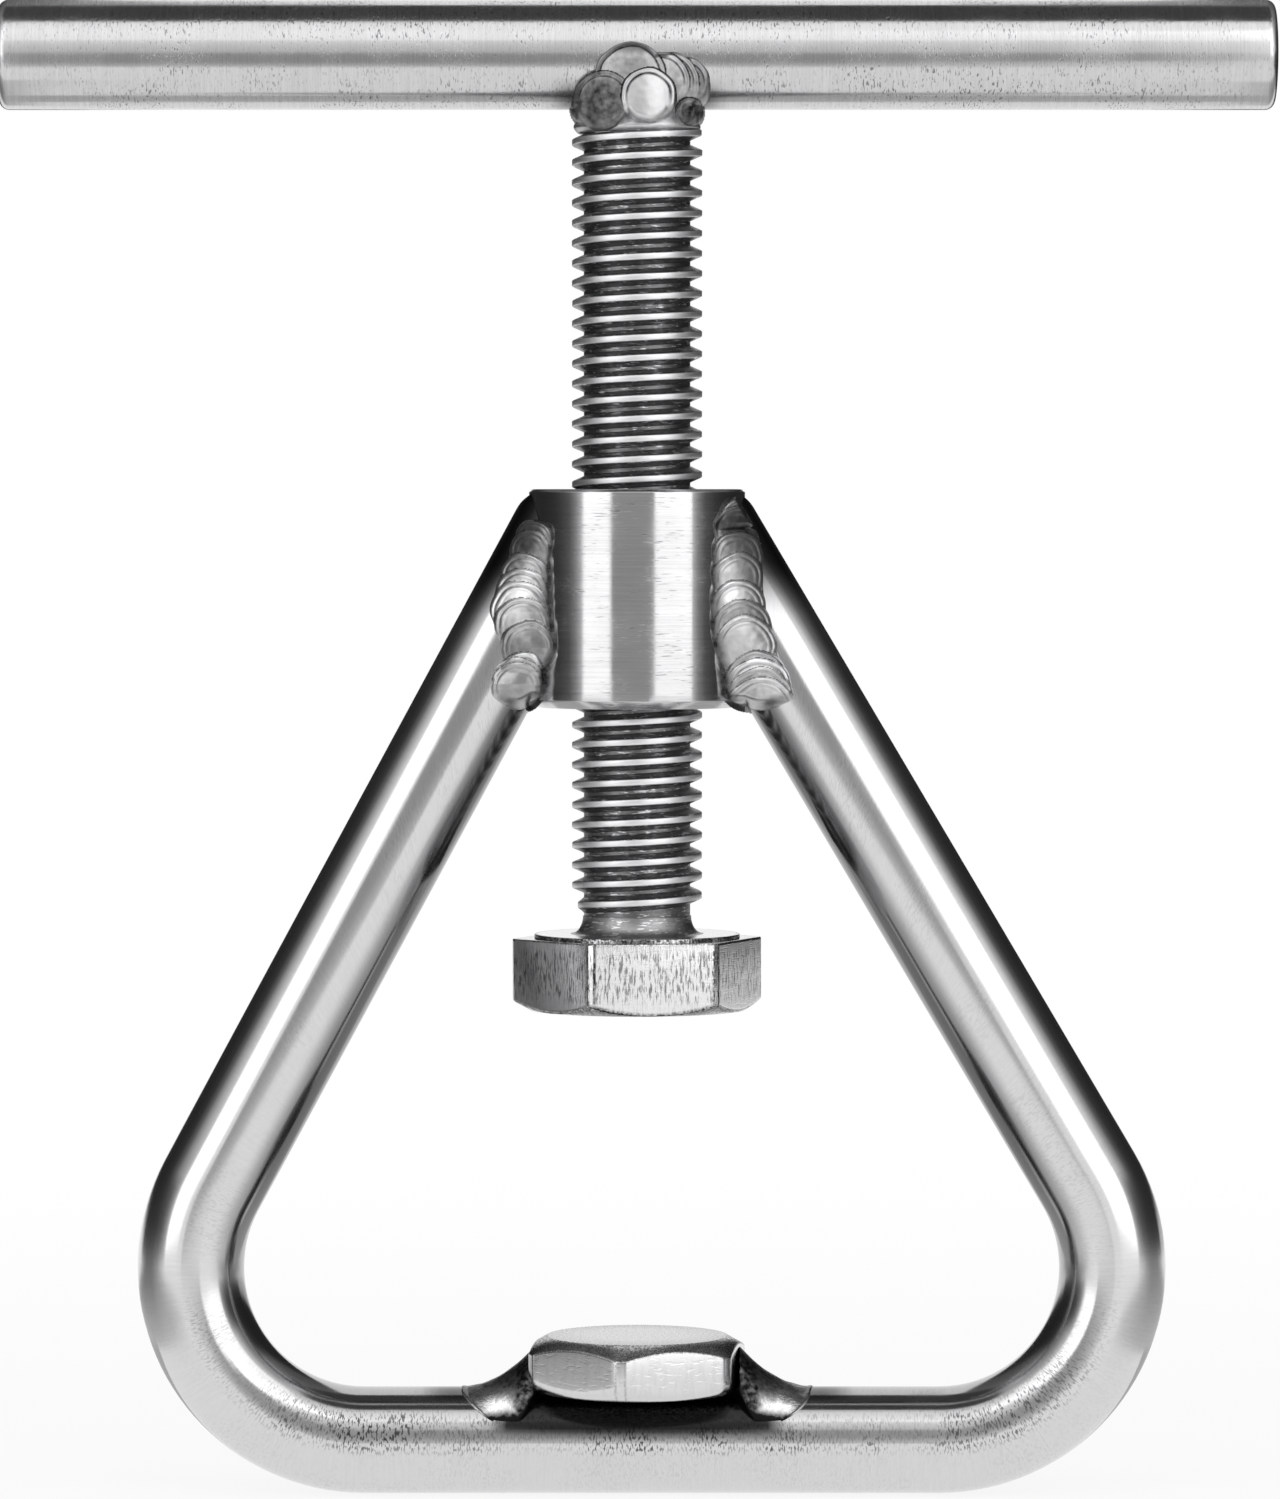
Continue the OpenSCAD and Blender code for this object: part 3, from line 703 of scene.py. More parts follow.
# Collar: a turned bush with chamfered rims, a countersunk bore and its own thread inside
collar = {"chamfer": 0.6, "topChamfer": 0.22, "rimRound": 0.08, "countersink": 0.5, "clearance": 0.12,
          "ridge": 0.7, "ridgeShare": 0.75, "runOut": 0.7, "around": 96}
boreRadius = crestRadius + collar["clearance"]
mouth, soft = boreRadius + collar["countersink"], collar["rimRound"]
boreLow, boreHigh = collarLow.z + collar["countersink"], collarHigh.z - collar["countersink"]
room = collarHigh.z - collarLow.z - 2 * collar["runOut"] - 2 * threadHalf
toFirst = math.ceil((collarLow.z + collar["runOut"] + threadHalf - threadFirst) / thread["pitch"]) + 0.5
shape, crease, lowRing, highRing = threadShape(
    boreLow, boreHigh, threadFirst + thread["pitch"] * toFirst, math.floor(room / thread["pitch"]) - 1,
    boreRadius, -collar["ridge"], threadHalf * collar["ridgeShare"], collar["around"], 0.0)
outline = softOutline([
    [boreHigh, boreRadius],
    [collarHigh.z, mouth, soft],
    [collarHigh.z, collarRadius - collar["topChamfer"], soft],
    [collarHigh.z - collar["topChamfer"], collarRadius, soft],
    [collarHigh.z - 2 * collar["chamfer"], collarRadius],
    [aimHeight, collarRadius],
    [collarLow.z + 2 * collar["chamfer"], collarRadius],
    [collarLow.z + collar["chamfer"], collarRadius, soft],
    [collarLow.z, collarRadius - collar["chamfer"], soft],
    [collarLow.z, mouth, soft],
    [boreLow, boreRadius]])
x, y, _ = shape[0][lowRing[0]]
outside = latheShape(outline, collar["around"], "z", math.atan2(y, x), False)
offset = len(shape[0])
collarShape = (shape[0] + outside[0],
               shape[1] + [tuple(offset + i for i in face) for face in outside[1]],
               shape[2] + outside[2])
makePiece("threadedCollar", collarShape, collarSteel, "frame", ["collar"])
print("collar done")

# Handle bar: ground bar with sawn, lightly broken ends
bar = {"endRound": 0.7, "endDome": 0.12, "endMiddle": 0.2, "around": 96, "endRings": [4, 16, 32],
       "stain": 0.75, "shadeAt": 4.9, "shadeHalf": 1.3, "shadeUnder": (-1.6, -3.2),
       "weldRings": [3, 3.8, 4.4, 5, 5.6, 6.2, 7, 8]}
barLow, barHigh = boxOf("handle_bar")
barRadius = (barHigh.z - barLow.z) / 2
barHeight = (barHigh.z + barLow.z) / 2
rings = [-ring for ring in bar["weldRings"][::-1]] + [0] + bar["weldRings"]
rings = [barLow.x + ring for ring in bar["endRings"]] + rings
rings += [barHigh.x - ring for ring in bar["endRings"][::-1]]
outline = softOutline([
    [barLow.x, barRadius * bar["endMiddle"]], [barLow.x + bar["endDome"], barRadius, bar["endRound"]],
    *[[ring, barRadius] for ring in rings],
    [barHigh.x - bar["endDome"], barRadius, bar["endRound"]], [barHigh.x, barRadius * bar["endMiddle"]]], 8)
points, faces, coords = latheShape(outline, bar["around"], "x")
points = [(x, y, z + barHeight) for x, y, z in points]
stains = []
# painted shade on the bar's underside each side of the weld
for x, y, z in coords:
    near = math.exp(-((abs(x) - bar["shadeAt"]) / bar["shadeHalf"]) ** 2)
    stains.append(bar["stain"] * near * smoothStep(*bar["shadeUnder"], z))
makePiece("handleBar", (points, faces, coords), barSteel, "screw", ["handle_bar"], stains)
print("handle bar done")

# Anvil: a hexagon with both rims and all corners broken, welded on the base
anvil = {
    "acrossFlats": 15.3, "turn": 21.7, "chamfer": 1.05, "cornerCut": 0.24, "cornerRound": 0.4,
    "edgeRound": 0.16, "rimRing": 7.2, "rimHeight": 0.6, "rimRise": 0.6,
    "cornerLine": 0.92, "cornerShade": 0.4,
    # painted shade row by row of the outline: dark underneath, and over the top chamfer and face
    "shades": [1.0, 0.8, 0.1, 0.05, 0.05, 0.0, 0.0, 0.0, 0.5, 0.6, 0.65, 0.5, 0.35]}
anvilLow, anvilHigh = boxOf("anvil")
shape, crease = hexShape(anvil, anvilLow.z, anvilHigh.z, True)
makePiece("hexAnvil", shape, anvilSteel, "frame", ["anvil"], crease)
print("anvil done")


# how far the collar's wall or a leg stands out at a place of the front or back
def jointDepth(leg, x, z):
    wall = math.sqrt(max(0.0, collarRadius ** 2 - x * x))
    off = (Vector((x, z)) - leg["start"]).dot(leg["out"])
    return max(wall, math.sqrt(max(0.0, rodRadius ** 2 - off * off)))


# a weld laid on a face as a sheet of depths over x and z, closed inside the metal it sits on
def weldShape(xLow, xHigh, zLow, zHigh, step, depthAt, face, inward):
    leastDepth, backShade = 0.2, 0.4
    columns = int((xHigh - xLow) / step) + 1
    rows = int((zHigh - zLow) / step) + 1
    points, crease, lifts = [], [], []
    for i in range(rows):
        for j in range(columns):
            x, z = xLow + j * step, zLow + i * step
            depth, lift, dark = depthAt(x, z)
            points.append((x, face * depth, z))
            lifts.append(lift)
            crease.append(dark)
    faces = [quad for quad in gridFaces(rows, columns, False) if max(lifts[p] for p in quad) > 0]
    used = sorted({p for quad in faces for p in quad})
    number = {p: n for n, p in enumerate(used)}
    points = [points[p] for p in used]
    crease = [crease[p] for p in used]
    faces = [tuple(number[p] for p in quad) for quad in faces]
    behind = [(x, face * max(leastDepth, abs(y) - inward), z) for x, y, z in points]
    return closedSheet(points, faces, behind, crease, backShade)


# how a coin's outline wavers, and where on it the lines and the tone show
coinLook = {
    "waverFrom": 1.2, "waverPerMm": 0.8, "waverStep": 3.1, "upperFrom": (-0.6, 0.3), "lineFrom": (-0.6, 0.1),
    "lowLine": 0.25, "rimTone": 0.8, "toneFrom": (0.2, 1.3)}


# coins of weld laid one over another at (x, z, radius, rise, shade), shade being each coin's painted light
# and shade: the height, darkness and how far inside
def coinLift(coins, form, x, z):
    lift, seam, tone, inside = 0.0, 0.0, 0.0, -1.0
    each, lowLine, rimTone = coinLook["waverPerMm"], coinLook["lowLine"], coinLook["rimTone"]
    for k, (cx, cz, radius, rise, shade) in enumerate(coins):
        away = math.hypot(x - cx, z - cz) / radius
        if away < coinLook["waverFrom"]:
            layer = k * coinLook["waverStep"] + form["seed"]
            away *= 1 + form["wobble"] * noise.noise((x * each, z * each, layer))
        within = (1 - away) * radius
        inside = max(inside, within)
        if within <= 0:
            continue
        up = (z - cz) / radius
        own = rise + form["tilt"] * up + form["dome"] * (1 - away ** 2)
        upper = smoothStep(*coinLook["upperFrom"], up)
        for at, high in form["ridges"]:
            own += high * upper * max(0.0, 1 - ((within - at) / form["ridgeHalf"]) ** 2)
        cover = smoothStep(0.0, form["edge"], within)
        lift += (own - lift) * cover
        # each coin's painted shade, a little lighter near its outline
        full = rimTone + (1 - rimTone) * smoothStep(*coinLook["toneFrom"], within)
        tone += (shade * full - tone) * cover
        # the outline, weak below, and a fainter one inside it
        line = 1 - smoothStep(0.0, form["seam"], within)
        line *= lowLine + (1 - lowLine) * smoothStep(*coinLook["lineFrom"], up)
        echo = form["echo"] * upper * max(0.0, 1 - abs(within - form["echoAt"]) / form["echoHalf"])
        if radius < form["echoFrom"]:
            echo = 0.0
        seam = max(seam * (1 - cover), line, echo)
    return lift, max(seam, tone), inside


# rounds the sheet's border down into the metal under it
def borderDepth(ground, top, inside, width, sink):
    share = 1 - min(1.0, max(0.0, inside / width))
    return ground - sink + (max(ground, top) - ground + sink) * math.sqrt(1 - share * share)


# Collar welds: one bead on each side, front and back, of coins laid downwards: top, middle, half width,
# painted shade
beads = {
    "collar_weld_left_front": {
        "side": left, "face": front, "bottom": 58.7, "endHeight": 2.0, "rise": 0.42,
        "coins": [(73.2, 7.7, 1.5, 0.8), (72.4, 8.0, 1.6, 0.75), (70.7, 8.35, 1.9, 0.5),
                  (69.55, 8.6, 2.15, 0.3), (68.6, 8.75, 2.3, 0.0), (67.4, 8.5, 2.2, 0.45),
                  (65.7, 8.1, 2.1, 0.65), (63.4, 8.5, 1.6, 0.1), (62.95, 8.9, 2.05, 0.55),
                  (62.6, 8.95, 2.0, 0.55)]},
    "collar_weld_right_front": {
        "side": right, "face": front, "bottom": 58.7, "endHeight": 1.7, "rise": 0.42,
        "coins": [(75.1, 8.2, 2.2, 0.75), (74.7, 7.9, 2.1, 0.6), (74.2, 7.5, 1.9, 0.8),
                  (72.3, 7.5, 2.0, 0.65), (70.75, 7.5, 2.0, 0.4), (68.75, 7.55, 2.1, 0.15),
                  (67.3, 7.8, 2.3, 0.65), (66.1, 8.1, 2.35, 0.4), (63.45, 8.95, 2.5, 0.6),
                  (62.9, 9.1, 2.6, 0.1), (62.2, 9.15, 2.65, 0.6), (61.5, 9.2, 2.7, 0.45)]},
    "collar_weld_left_back": {
        "side": left, "face": back, "bottom": 58.9, "endHeight": 2.0, "rise": 0.42,
        "coins": [(73.6, 7.6, 1.7, 0.8), (72.2, 7.8, 1.9, 0.6), (70.9, 8.0, 2.0, 0.4),
                  (69.2, 8.2, 2.1, 0.1), (68.1, 8.4, 2.2, 0.4), (66.5, 8.4, 2.2, 0.2),
                  (65.0, 8.6, 2.2, 0.5), (63.2, 9.0, 2.3, 0.2)]},
    "collar_weld_right_back": {
        "side": right, "face": back, "bottom": 58.9, "endHeight": 1.8, "rise": 0.42,
        "coins": [(73.9, 7.5, 1.7, 0.75), (72.7, 7.8, 1.9, 0.65), (71.1, 8.1, 2.0, 0.3),
                  (70.0, 8.1, 2.1, 0.5), (68.3, 8.3, 2.2, 0.1), (67.0, 8.5, 2.2, 0.4),
                  (65.2, 8.7, 2.3, 0.2), (63.4, 9.1, 2.4, 0.3)]},
}
beadForm = {
    "grid": 0.065, "across": (4.6, 12.4), "margin": 0.3, "wobble": 0.06, "seed": 7.0, "tilt": 0.28,
    "dome": 0.18, "edge": 0.16, "ridges": [(0.22, 0.08), (0.6, 0.04)], "ridgeHalf": 0.18, "seam": 0.11,
    "echo": 0.7, "echoAt": 0.48, "echoHalf": 0.18, "echoFrom": 1.0, "sink": 0.12, "border": 0.3,
    "runOut": 1.3, "runSink": 0.05, "runFrom": (0.1, 0.6), "endFade": 0.7, "spare": 0.1, "inward": 0.9,
    "fill": 0.94, "offEdge": 0.7, "offShoulder": 0.2, "soot": 0.85, "collarSideShadeFrom": (0.2, 1.0),
    "collarSideShadeBorder": (0.15, 0.4), "lumps": 0.02, "lumpsPerMm": 2.2}


# the bead's middle and half width at a height, between those of its coins
def beadLine(bead, z):
    line = [(top - half, middle, half) for top, middle, half, _ in bead["coins"]]
    for (z1, x1, half1), (z2, x2, half2) in zip(line, line[1:]):
        if z >= z2:
            share = min(1.0, max(0.0, (z1 - z) / max(0.01, z1 - z2)))
            return x1 + (x2 - x1) * share, half1 + (half2 - half1) * share
    return line[-1][1:]


def beadDepth(bead, coins, leg, x, z):
    ground = jointDepth(leg, abs(x), z)
    centre, half = beadLine(bead, z)
    u = (abs(x) - centre) / half
    inner = jointDepth(leg, centre - half, z)
    outer = jointDepth(leg, centre + half, z)
    crown = inner + (outer - inner) * (u + 1) / 2 + bead["rise"] * max(0.0, 1 - u * u)
    lift, dark, inside = coinLift(coins, beadForm, x, z)
    # no notches between the coins, and nothing past the shoulder
    if z < bead["coins"][0][0] - half:
        inside = max(inside, beadForm["fill"] * half - abs(abs(x) - centre))
    place = Vector((abs(x), z))
    inside = min(inside, rodRadius - beadForm["offEdge"] - (place - leg["start"]).dot(leg["out"]))
    past = place - shoulderMiddle(leg)
    if past.x > 0 and past.y > 0:
        inside = min(inside, rod["shoulderRound"] - beadForm["offShoulder"] - past.length)
    # the lower end is a half oval, and the side towards the collar gets painted shade
    below = max(0.0, bead["bottom"] + bead["endHeight"] - z) / bead["endHeight"]
    fade = 1.0
    if below > 0:
        away = math.hypot(u, below)
        inside = min(inside, (1 - away) * bead["endHeight"])
        fade = 1 - below * below * (1 - smoothStep(0.0, beadForm["endFade"], 1 - away))
    dark = max(dark, beadForm["soot"] * smoothStep(*beadForm["collarSideShadeFrom"], -u))
    if u < 0:
        dark = max(dark, beadForm["soot"] * (1 - smoothStep(*beadForm["collarSideShadeBorder"], inside)))
    each = beadForm["lumpsPerMm"]
    top = crown + lift + beadForm["lumps"] * noise.noise((x * each, z * each, bead["side"] * 4.0))
    top = ground + (top - ground) * fade
    depth = borderDepth(ground, top, inside, beadForm["border"], beadForm["sink"])
    sunk = ground - beadForm["runSink"]
    runOut = sunk + (top - sunk) * smoothStep(0.0, beadForm["runOut"], inside)
    depth += (runOut - depth) * smoothStep(*beadForm["runFrom"], below)
    return depth, inside + beadForm["spare"], dark


for node, bead in beads.items():
    side, margin = bead["side"], beadForm["margin"]
    leg = legOf(side)
    coins = [(side * middle, top - half, half, 0.0, shade) for top, middle, half, shade in bead["coins"]]
    ends = sorted(side * x for x in beadForm["across"])
    shape, crease = weldShape(
        *ends, bead["bottom"] - margin, bead["coins"][0][0] + margin, beadForm["grid"],
        lambda x, z: beadDepth(bead, coins, leg, x, z), bead["face"], beadForm["inward"])
    name = "bead" + "".join(word.capitalize() for word in node.split("_")[2:])
    makePiece(name, shape, beadSteel, "frame", [node], crease, 60)
print("collar welds done")

# Handle weld: flat overlapping coins over the joint, laid from the right, with the last crater on top
root = {
    "radius": 4.55, "around": 72, "shade": 0.1, "over": 0.4, "topInset": 0.35, "hole": 1.0,
    # height over its foot, radius beside its own, rounding
    "profile": [(0.0, -0.9, 0), (0.0, -0.1, 0.35), (0.5, 0.25, 0.3), (1.1, -0.05, 0.4)]}
rootLow, rootHigh = boxOf("handle_weld_root")
coinSets = {
    # each coin: x, z, radius, rise, painted shade
    front: [(3.4, 105.4, 2.1, 0.1, 0.6), (2.4, 105.5, 2.3, 0.2, 0.5), (1.8, 105.6, 2.2, 0.3, 0.4),
            (3.9, 103.4, 1.1, 0.05, 0.85), (-0.5, 105.9, 2.7, 0.42, 0.4), (-3.7, 103.7, 1.2, 0.2, 0.9),
            (-2.7, 103.4, 1.5, 0.4, 0.5), (-2.55, 104.2, 2.2, 0.5, 0.72), (0.85, 104.5, 2.1, 0.66, 0.0)],
    back: [(-3.2, 105.3, 2.1, 0.1, 0.5), (-2.3, 105.5, 2.3, 0.2, 0.4), (-3.8, 103.4, 1.0, 0.05, 0.6),
           (-1.5, 105.6, 2.2, 0.3, 0.3), (0.7, 105.8, 2.6, 0.42, 0.3), (3.7, 103.7, 1.2, 0.2, 0.8),
           (2.7, 103.6, 1.5, 0.4, 0.5), (2.3, 104.5, 2.1, 0.5, 0.55), (-0.6, 105.0, 2.0, 0.66, 0.1)],
}
coinForm = {
    "grid": 0.06, "across": (-5.6, 5.8), "below": 0.1, "above": 1.6, "wobble": 0.05, "seed": 2.0,
    "tilt": -0.05, "dome": 0.12, "edge": 0.16, "ridges": [(0.16, 0.05), (0.42, 0.03)], "ridgeHalf": 0.11,
    "seam": 0.22, "echo": 0.9, "echoAt": 0.46, "echoHalf": 0.18, "echoFrom": 1.6, "sink": 0.15,
    "border": 0.25, "borderShare": 0.3, "borderMost": 3.0, "inward": 0.9, "padRadius": 5.0, "padBlend": 0.5,
    "undercut": 0.75, "ringUnder": 0.2, "spare": 0.06, "padTop": (-0.6, 1.4),
    "lumps": 0.015, "lumpsPerMm": 2.0}


def coinDepth(face, x, z):
    barSide = math.sqrt(max(0.0, barRadius ** 2 - (z - barHeight) ** 2))
    ringSide = math.sqrt(max(0.0, root["radius"] ** 2 - x * x))
    ringSide *= 1 - smoothStep(barLow.z - coinForm["ringUnder"], barHeight, z)
    ground = max(barSide, ringSide)
    # the pad under the coins: round across, and nearly upright below the bar's middle
    across = math.sqrt(max(0.0, coinForm["padRadius"] ** 2 - x * x))
    below = max(0.0, barHeight - z) / barRadius
    upright = barRadius - coinForm["undercut"] * below ** 2 if z < barHeight else barSide
    pad = (across + upright + math.sqrt((across - upright) ** 2 + coinForm["padBlend"] ** 2)) / 2
    pad += (barSide - pad) * smoothStep(*coinForm["padTop"], z - barHeight)
    lift, dark, inside = coinLift(coinSets[face], coinForm, x, z)
    each = coinForm["lumpsPerMm"]
    top = pad + lift + coinForm["lumps"] * noise.noise((x * each, z * each, face * 5.0))
    high = min(coinForm["borderMost"], max(0.0, top - ground))
    width = coinForm["border"] + coinForm["borderShare"] * high
    return borderDepth(ground, top, inside, width, coinForm["sink"]), inside + coinForm["spare"], dark


for face, word in ((front, "front"), (back, "back")):
    shape, crease = weldShape(
        *coinForm["across"], rootLow.z - coinForm["below"], barHeight + coinForm["above"], coinForm["grid"],
        lambda x, z: coinDepth(face, x, z), face, coinForm["inward"])
    makePiece("coins" + word.capitalize(), shape, coinSteel, "screw", ["handle_weld_" + word],
              crease, 60)

# the round root run under the bar
outline = [[rootLow.z + up, root["radius"] + out, soft] for up, out, soft in root["profile"]]
rootTop = rootHigh.z + root["over"]
outline += [[rootTop, root["radius"] - root["topInset"]], [rootTop, root["hole"]]]
shape = latheShape(softOutline(outline), root["around"], "z")
makePiece("rootRun", shape, coinSteel, "travel", ["handle_weld_root"],
          [root["shade"]] * len(shape[0]))
print("handle welds done")

# Anvil fillets: concave runs that climb from a round toe on the rod to the anvil's sides
fillet = {
    "toe": 13.4, "toeRound": 2.7, "toeWaver": 0.2, "inside": 6.4, "height": 3.1, "hollow": 2.1,
    "sideFall": 0.6, "reach": 65.0, "narrow": 0.35, "wideFrom": 9.0, "rows": 90, "columns": 96, "below": 0.5,
    "sink": 0.1, "ridge": 0.05, "ridgeAt": 0.07, "ridgeHalf": 0.035, "toeEdge": 0.05, "sideEdge": 0.06,
    # spot and spotSize place the painted highlight; dark, sideDark and innerDark set the painted shade
    "lumps": 0.04, "underRim": 0.2, "spot": (10.5, 6.9), "spotSize": (1.8, 1.0), "dark": 0.66,
    "toeDark": 0.08, "sideDark": 0.9, "sideFrom": (0.72, 0.95), "innerDark": 0.75, "innerFrom": (8.8, 9.8),
    "backShade": 1.0}


def filletShape(side):
    points, crease, behind = [], [], []
    rows, columns = fillet["rows"], fillet["columns"]
    slope = math.tan(math.radians(60))
    anvilSide = anvil["acrossFlats"] / 2
    anvilRing = anvilSide / math.cos(math.radians(30)) - anvil["cornerCut"] - anvil["chamfer"] * slope
    inner, narrow, sink = fillet["inside"], fillet["narrow"], fillet["sink"]
    for i in range(rows + 1):
        for j in range(columns + 1):
            turn = j / columns * 2 - 1
            toe = fillet["toe"] - fillet["toeRound"] * abs(turn) ** 3
            toe += fillet["toeWaver"] * noise.noise((turn * 2.0, side * 4.0, 1.0))
            x = inner + (toe - inner) * i / rows
            wide = narrow + (1 - narrow) * smoothStep(inner, fillet["wideFrom"], x)
            a = math.radians(fillet["reach"] * turn * wide)
            climb = min(1.0, max(0.0, (toe - x) / (toe - anvilSide)))
            thick = fillet["height"] * climb ** fillet["hollow"] * (1 - turn ** 2) ** fillet["sideFall"]
            thick += fillet["ridge"] * max(0.0, 1 - ((climb - fillet["ridgeAt"]) / fillet["ridgeHalf"]) ** 2)
            edge = smoothStep(0.0, fillet["toeEdge"], climb)
            edge *= smoothStep(0.0, fillet["sideEdge"], 1 - abs(turn))
            thick += fillet["lumps"] * edge * noise.noise((x * 1.2, a * 4, side * 3.0))
            if x < anvilSide:    # under the anvil it only fills the wedge over the rod
                rim = anvilLow.z + max(0.0, x - anvilRing) / slope + fillet["underRim"]
                room = max(0.0, (rim - rodMiddle) / max(0.05, math.cos(a)) - rodRadius)
                thick = min(thick, room) * smoothStep(inner, anvilSide, x)
            r = rodRadius - sink + (thick + sink) * edge
            z = rodMiddle + r * math.cos(a)
            points.append((side * x, -r * math.sin(a), z))
            under = rodRadius - fillet["below"]
            behind.append((side * x, -under * math.sin(a), rodMiddle + under * math.cos(a)))
            # a painted highlight in one spot, painted shade over the rest, darker at the sides and under the
            # anvil, and a dark line at the toe
            offX = (x - fillet["spot"][0]) / fillet["spotSize"][0]
            offZ = (z - fillet["spot"][1]) / fillet["spotSize"][1]
            bright = math.exp(-offX * offX - offZ * offZ)
            crease.append(max(
                1 - smoothStep(0.0, fillet["toeDark"], climb), fillet["dark"] * (1 - bright),
                fillet["sideDark"] * smoothStep(*fillet["sideFrom"], abs(turn)),
                fillet["innerDark"] * (1 - smoothStep(*fillet["innerFrom"], x))))
    return closedSheet(points, gridFaces(rows + 1, columns + 1, False), behind, crease, fillet["backShade"])


for side, name, node in ((left, "filletLeft", "anvil_weld_left"), (right, "filletRight", "anvil_weld_right")):
    shape, crease = filletShape(side)
    makePiece(name, shape, filletSteel, "frame", [node], crease, 60)
print("anvil fillets done")

# Studio: pale floor, white surround, soft boxes, and grey flags that only reflections see
studio = {
    "floorSize": 4.0, "floorSink": 2e-5, "floorColour": "#F2F2F2", "floorGlow": 0.84,
    "shadowReach": (0.03, 0.3), "surroundLight": 0.75, "lampAim": 0.05,
    "softboxes": {    # azimuth from the camera, elevation, distance, width, height, brightness
        "softboxLeft": (-44, 24, 1.2, 0.7, 1.3, 0.72),
        "softboxRight": (42, 24, 1.2, 1.12, 1.3, 0.72),
        "softboxTop": (0, 48, 1.3, 0.9, 0.95, 0.2)},
    # side walls on a circle: azimuths across, then the greys at each height in metres
    "wallRadius": 0.3,
    "wallAzimuths": [60, 67, 76, 90, 104, 124, 130, 150, 168],
    "walls": {
        "flagLeft": (left, {
            0.0: "E0 B8 98 84 80 84 FF FF FF", 0.02: "D8 A0 74 58 4C 48 C0 FF FF",
            0.045: "D0 8C 58 3C 34 2C 2C 2C 2C", 0.11: "D8 9C 60 44 34 2C 2C 2C 2C",
            0.13: "F0 E0 B8 68 3A 2E 2C 2C 2C", 0.2: "F0 E0 B8 68 3A 2E 2C 34 38",
            0.27: "F0 E0 C8 98 84 74 68 60 58", 0.6: "F0 E0 D0 A8 94 84 7C 74 70"}),
        "flagRight": (right, {
            0.0: "E0 C0 A8 9C 98 A0 C8 CC D0", 0.02: "D8 A0 74 58 4C 48 C4 CC D0",
            0.045: "D0 8C 58 3C 34 2C 2C 2C 2C", 0.11: "D8 9C 60 44 34 2C 2C 2C 2C",
            0.13: "FF F0 B8 60 3A 2E 2C 2C 2C", 0.2: "FF F0 B8 60 3A 2E 2C 34 38",
            0.27: "FF F0 C8 98 84 74 68 60 58", 0.6: "FF F0 D0 A8 94 84 7C 74 70"})},
    # boards on the floor: the places of their columns along x and rows along y, and the greys row by row
    "floorBoards": {
        "flagFloorLeft": ([-0.3, -0.13, -0.085, -0.058], {
            -0.07: "D0 D0 D0 D4", -0.03: "A8 A8 BC D0", 0.0: "88 88 A8 CC",
            0.07: "84 84 A8 CC", 0.11: "C8 C8 CC D4"}),
        "flagFloorRight": ([0.058, 0.085, 0.13, 0.3], {
            -0.06: "D4 D0 D0 D0", -0.025: "D0 C0 B4 B4", 0.0: "CC B4 9C 9C",
            0.07: "CC B4 A0 A0", 0.11: "D4 CC C8 C8"}),
        "flagFloorMiddle": ([-0.058, 0.058], {0.012: "B8 B8", 0.06: "C4 C4"})},
    "floorBoardHeight": 0.0003,
    "topBoard": {"height": 0.6, "across": (-0.45, 0.45), "deep": (-0.17, 0.34), "grey": "48"},
    "cameraBoard": {    # height: left and right end, grey
        0.0: (-0.1, 0.044, "D0"), 0.02: (-0.1, 0.044, "BE"), 0.042: (-0.1, 0.046, "A2"),
        0.058: (-0.1, 0.066, "A0"), 0.1: (-0.1, 0.066, "A0"), 0.12: (-0.1, 0.06, "D0"),
        0.16: (-0.1, 0.06, "E0"), 0.21: (-0.1, 0.06, "F8")},
    "cameraBoardPlace": -0.2,
}


# one for rays that see the white itself, from the camera, in gloss or through glass; nought for its light
def seenRays(tree):
    path = addNode(tree, "LightPath")
    seen = addNode(tree, "Math", {"operation": "MAXIMUM"},
                   {0: path.outputs["Is Camera Ray"], 1: path.outputs["Is Glossy Ray"]})
    return addNode(tree, "Math", {"operation": "MAXIMUM"}, {0: seen, 1: path.outputs["Is Transmission Ray"]})


world = bpy.data.worlds.new("studioSurround")
scene.world = world
world.use_nodes = True
tree = world.node_tree
tree.nodes.clear()
level = addNode(tree, "MapRange", {3: studio["surroundLight"], 4: 1.0}, {"Value": seenRays(tree)})
glow = addNode(tree, "Background", {"Color": (1, 1, 1, 1)}, {"Strength": level})
addNode(tree, "OutputWorld", None, {"Surface": glow})

material, tree = newMaterial("paleFloor")
# the paper's own white takes over away from the object, so that the floor runs into the surround
spot = addNode(tree, "NewGeometry")
away = addNode(tree, "VectorMath", {"operation": "LENGTH"}, {0: spot.outputs["Position"]})
paper = addNode(tree, "MapRange", {
    "interpolation_type": "SMOOTHSTEP", 1: studio["shadowReach"][0], 2: studio["shadowReach"][1],
    3: studio["floorGlow"], 4: 1.0}, {"Value": away.outputs["Value"]})
share = addNode(tree, "Math", {"operation": "MULTIPLY"}, {0: seenRays(tree), 1: paper})
matt = addNode(tree, "BsdfDiffuse", {"Color": linearColour(studio["floorColour"])})
white = addNode(tree, "Emission", {"Color": (1, 1, 1, 1), "Strength": 1.0})
both = addNode(tree, "MixShader", None, {0: share, 1: matt, 2: white})
addNode(tree, "OutputMaterial", None, {"Surface": both})
mesh = bpy.data.meshes.new("studioFloor")
size = studio["floorSize"]
corners = [(-size, -size), (size, -size), (size, size), (-size, size)]
mesh.from_pydata([(x, y, -studio["floorSink"]) for x, y in corners], [], [(0, 1, 2, 3)])
mesh.materials.append(material)
floor = bpy.data.objects.new("studioFloor", mesh)
scene.collection.objects.link(floor)

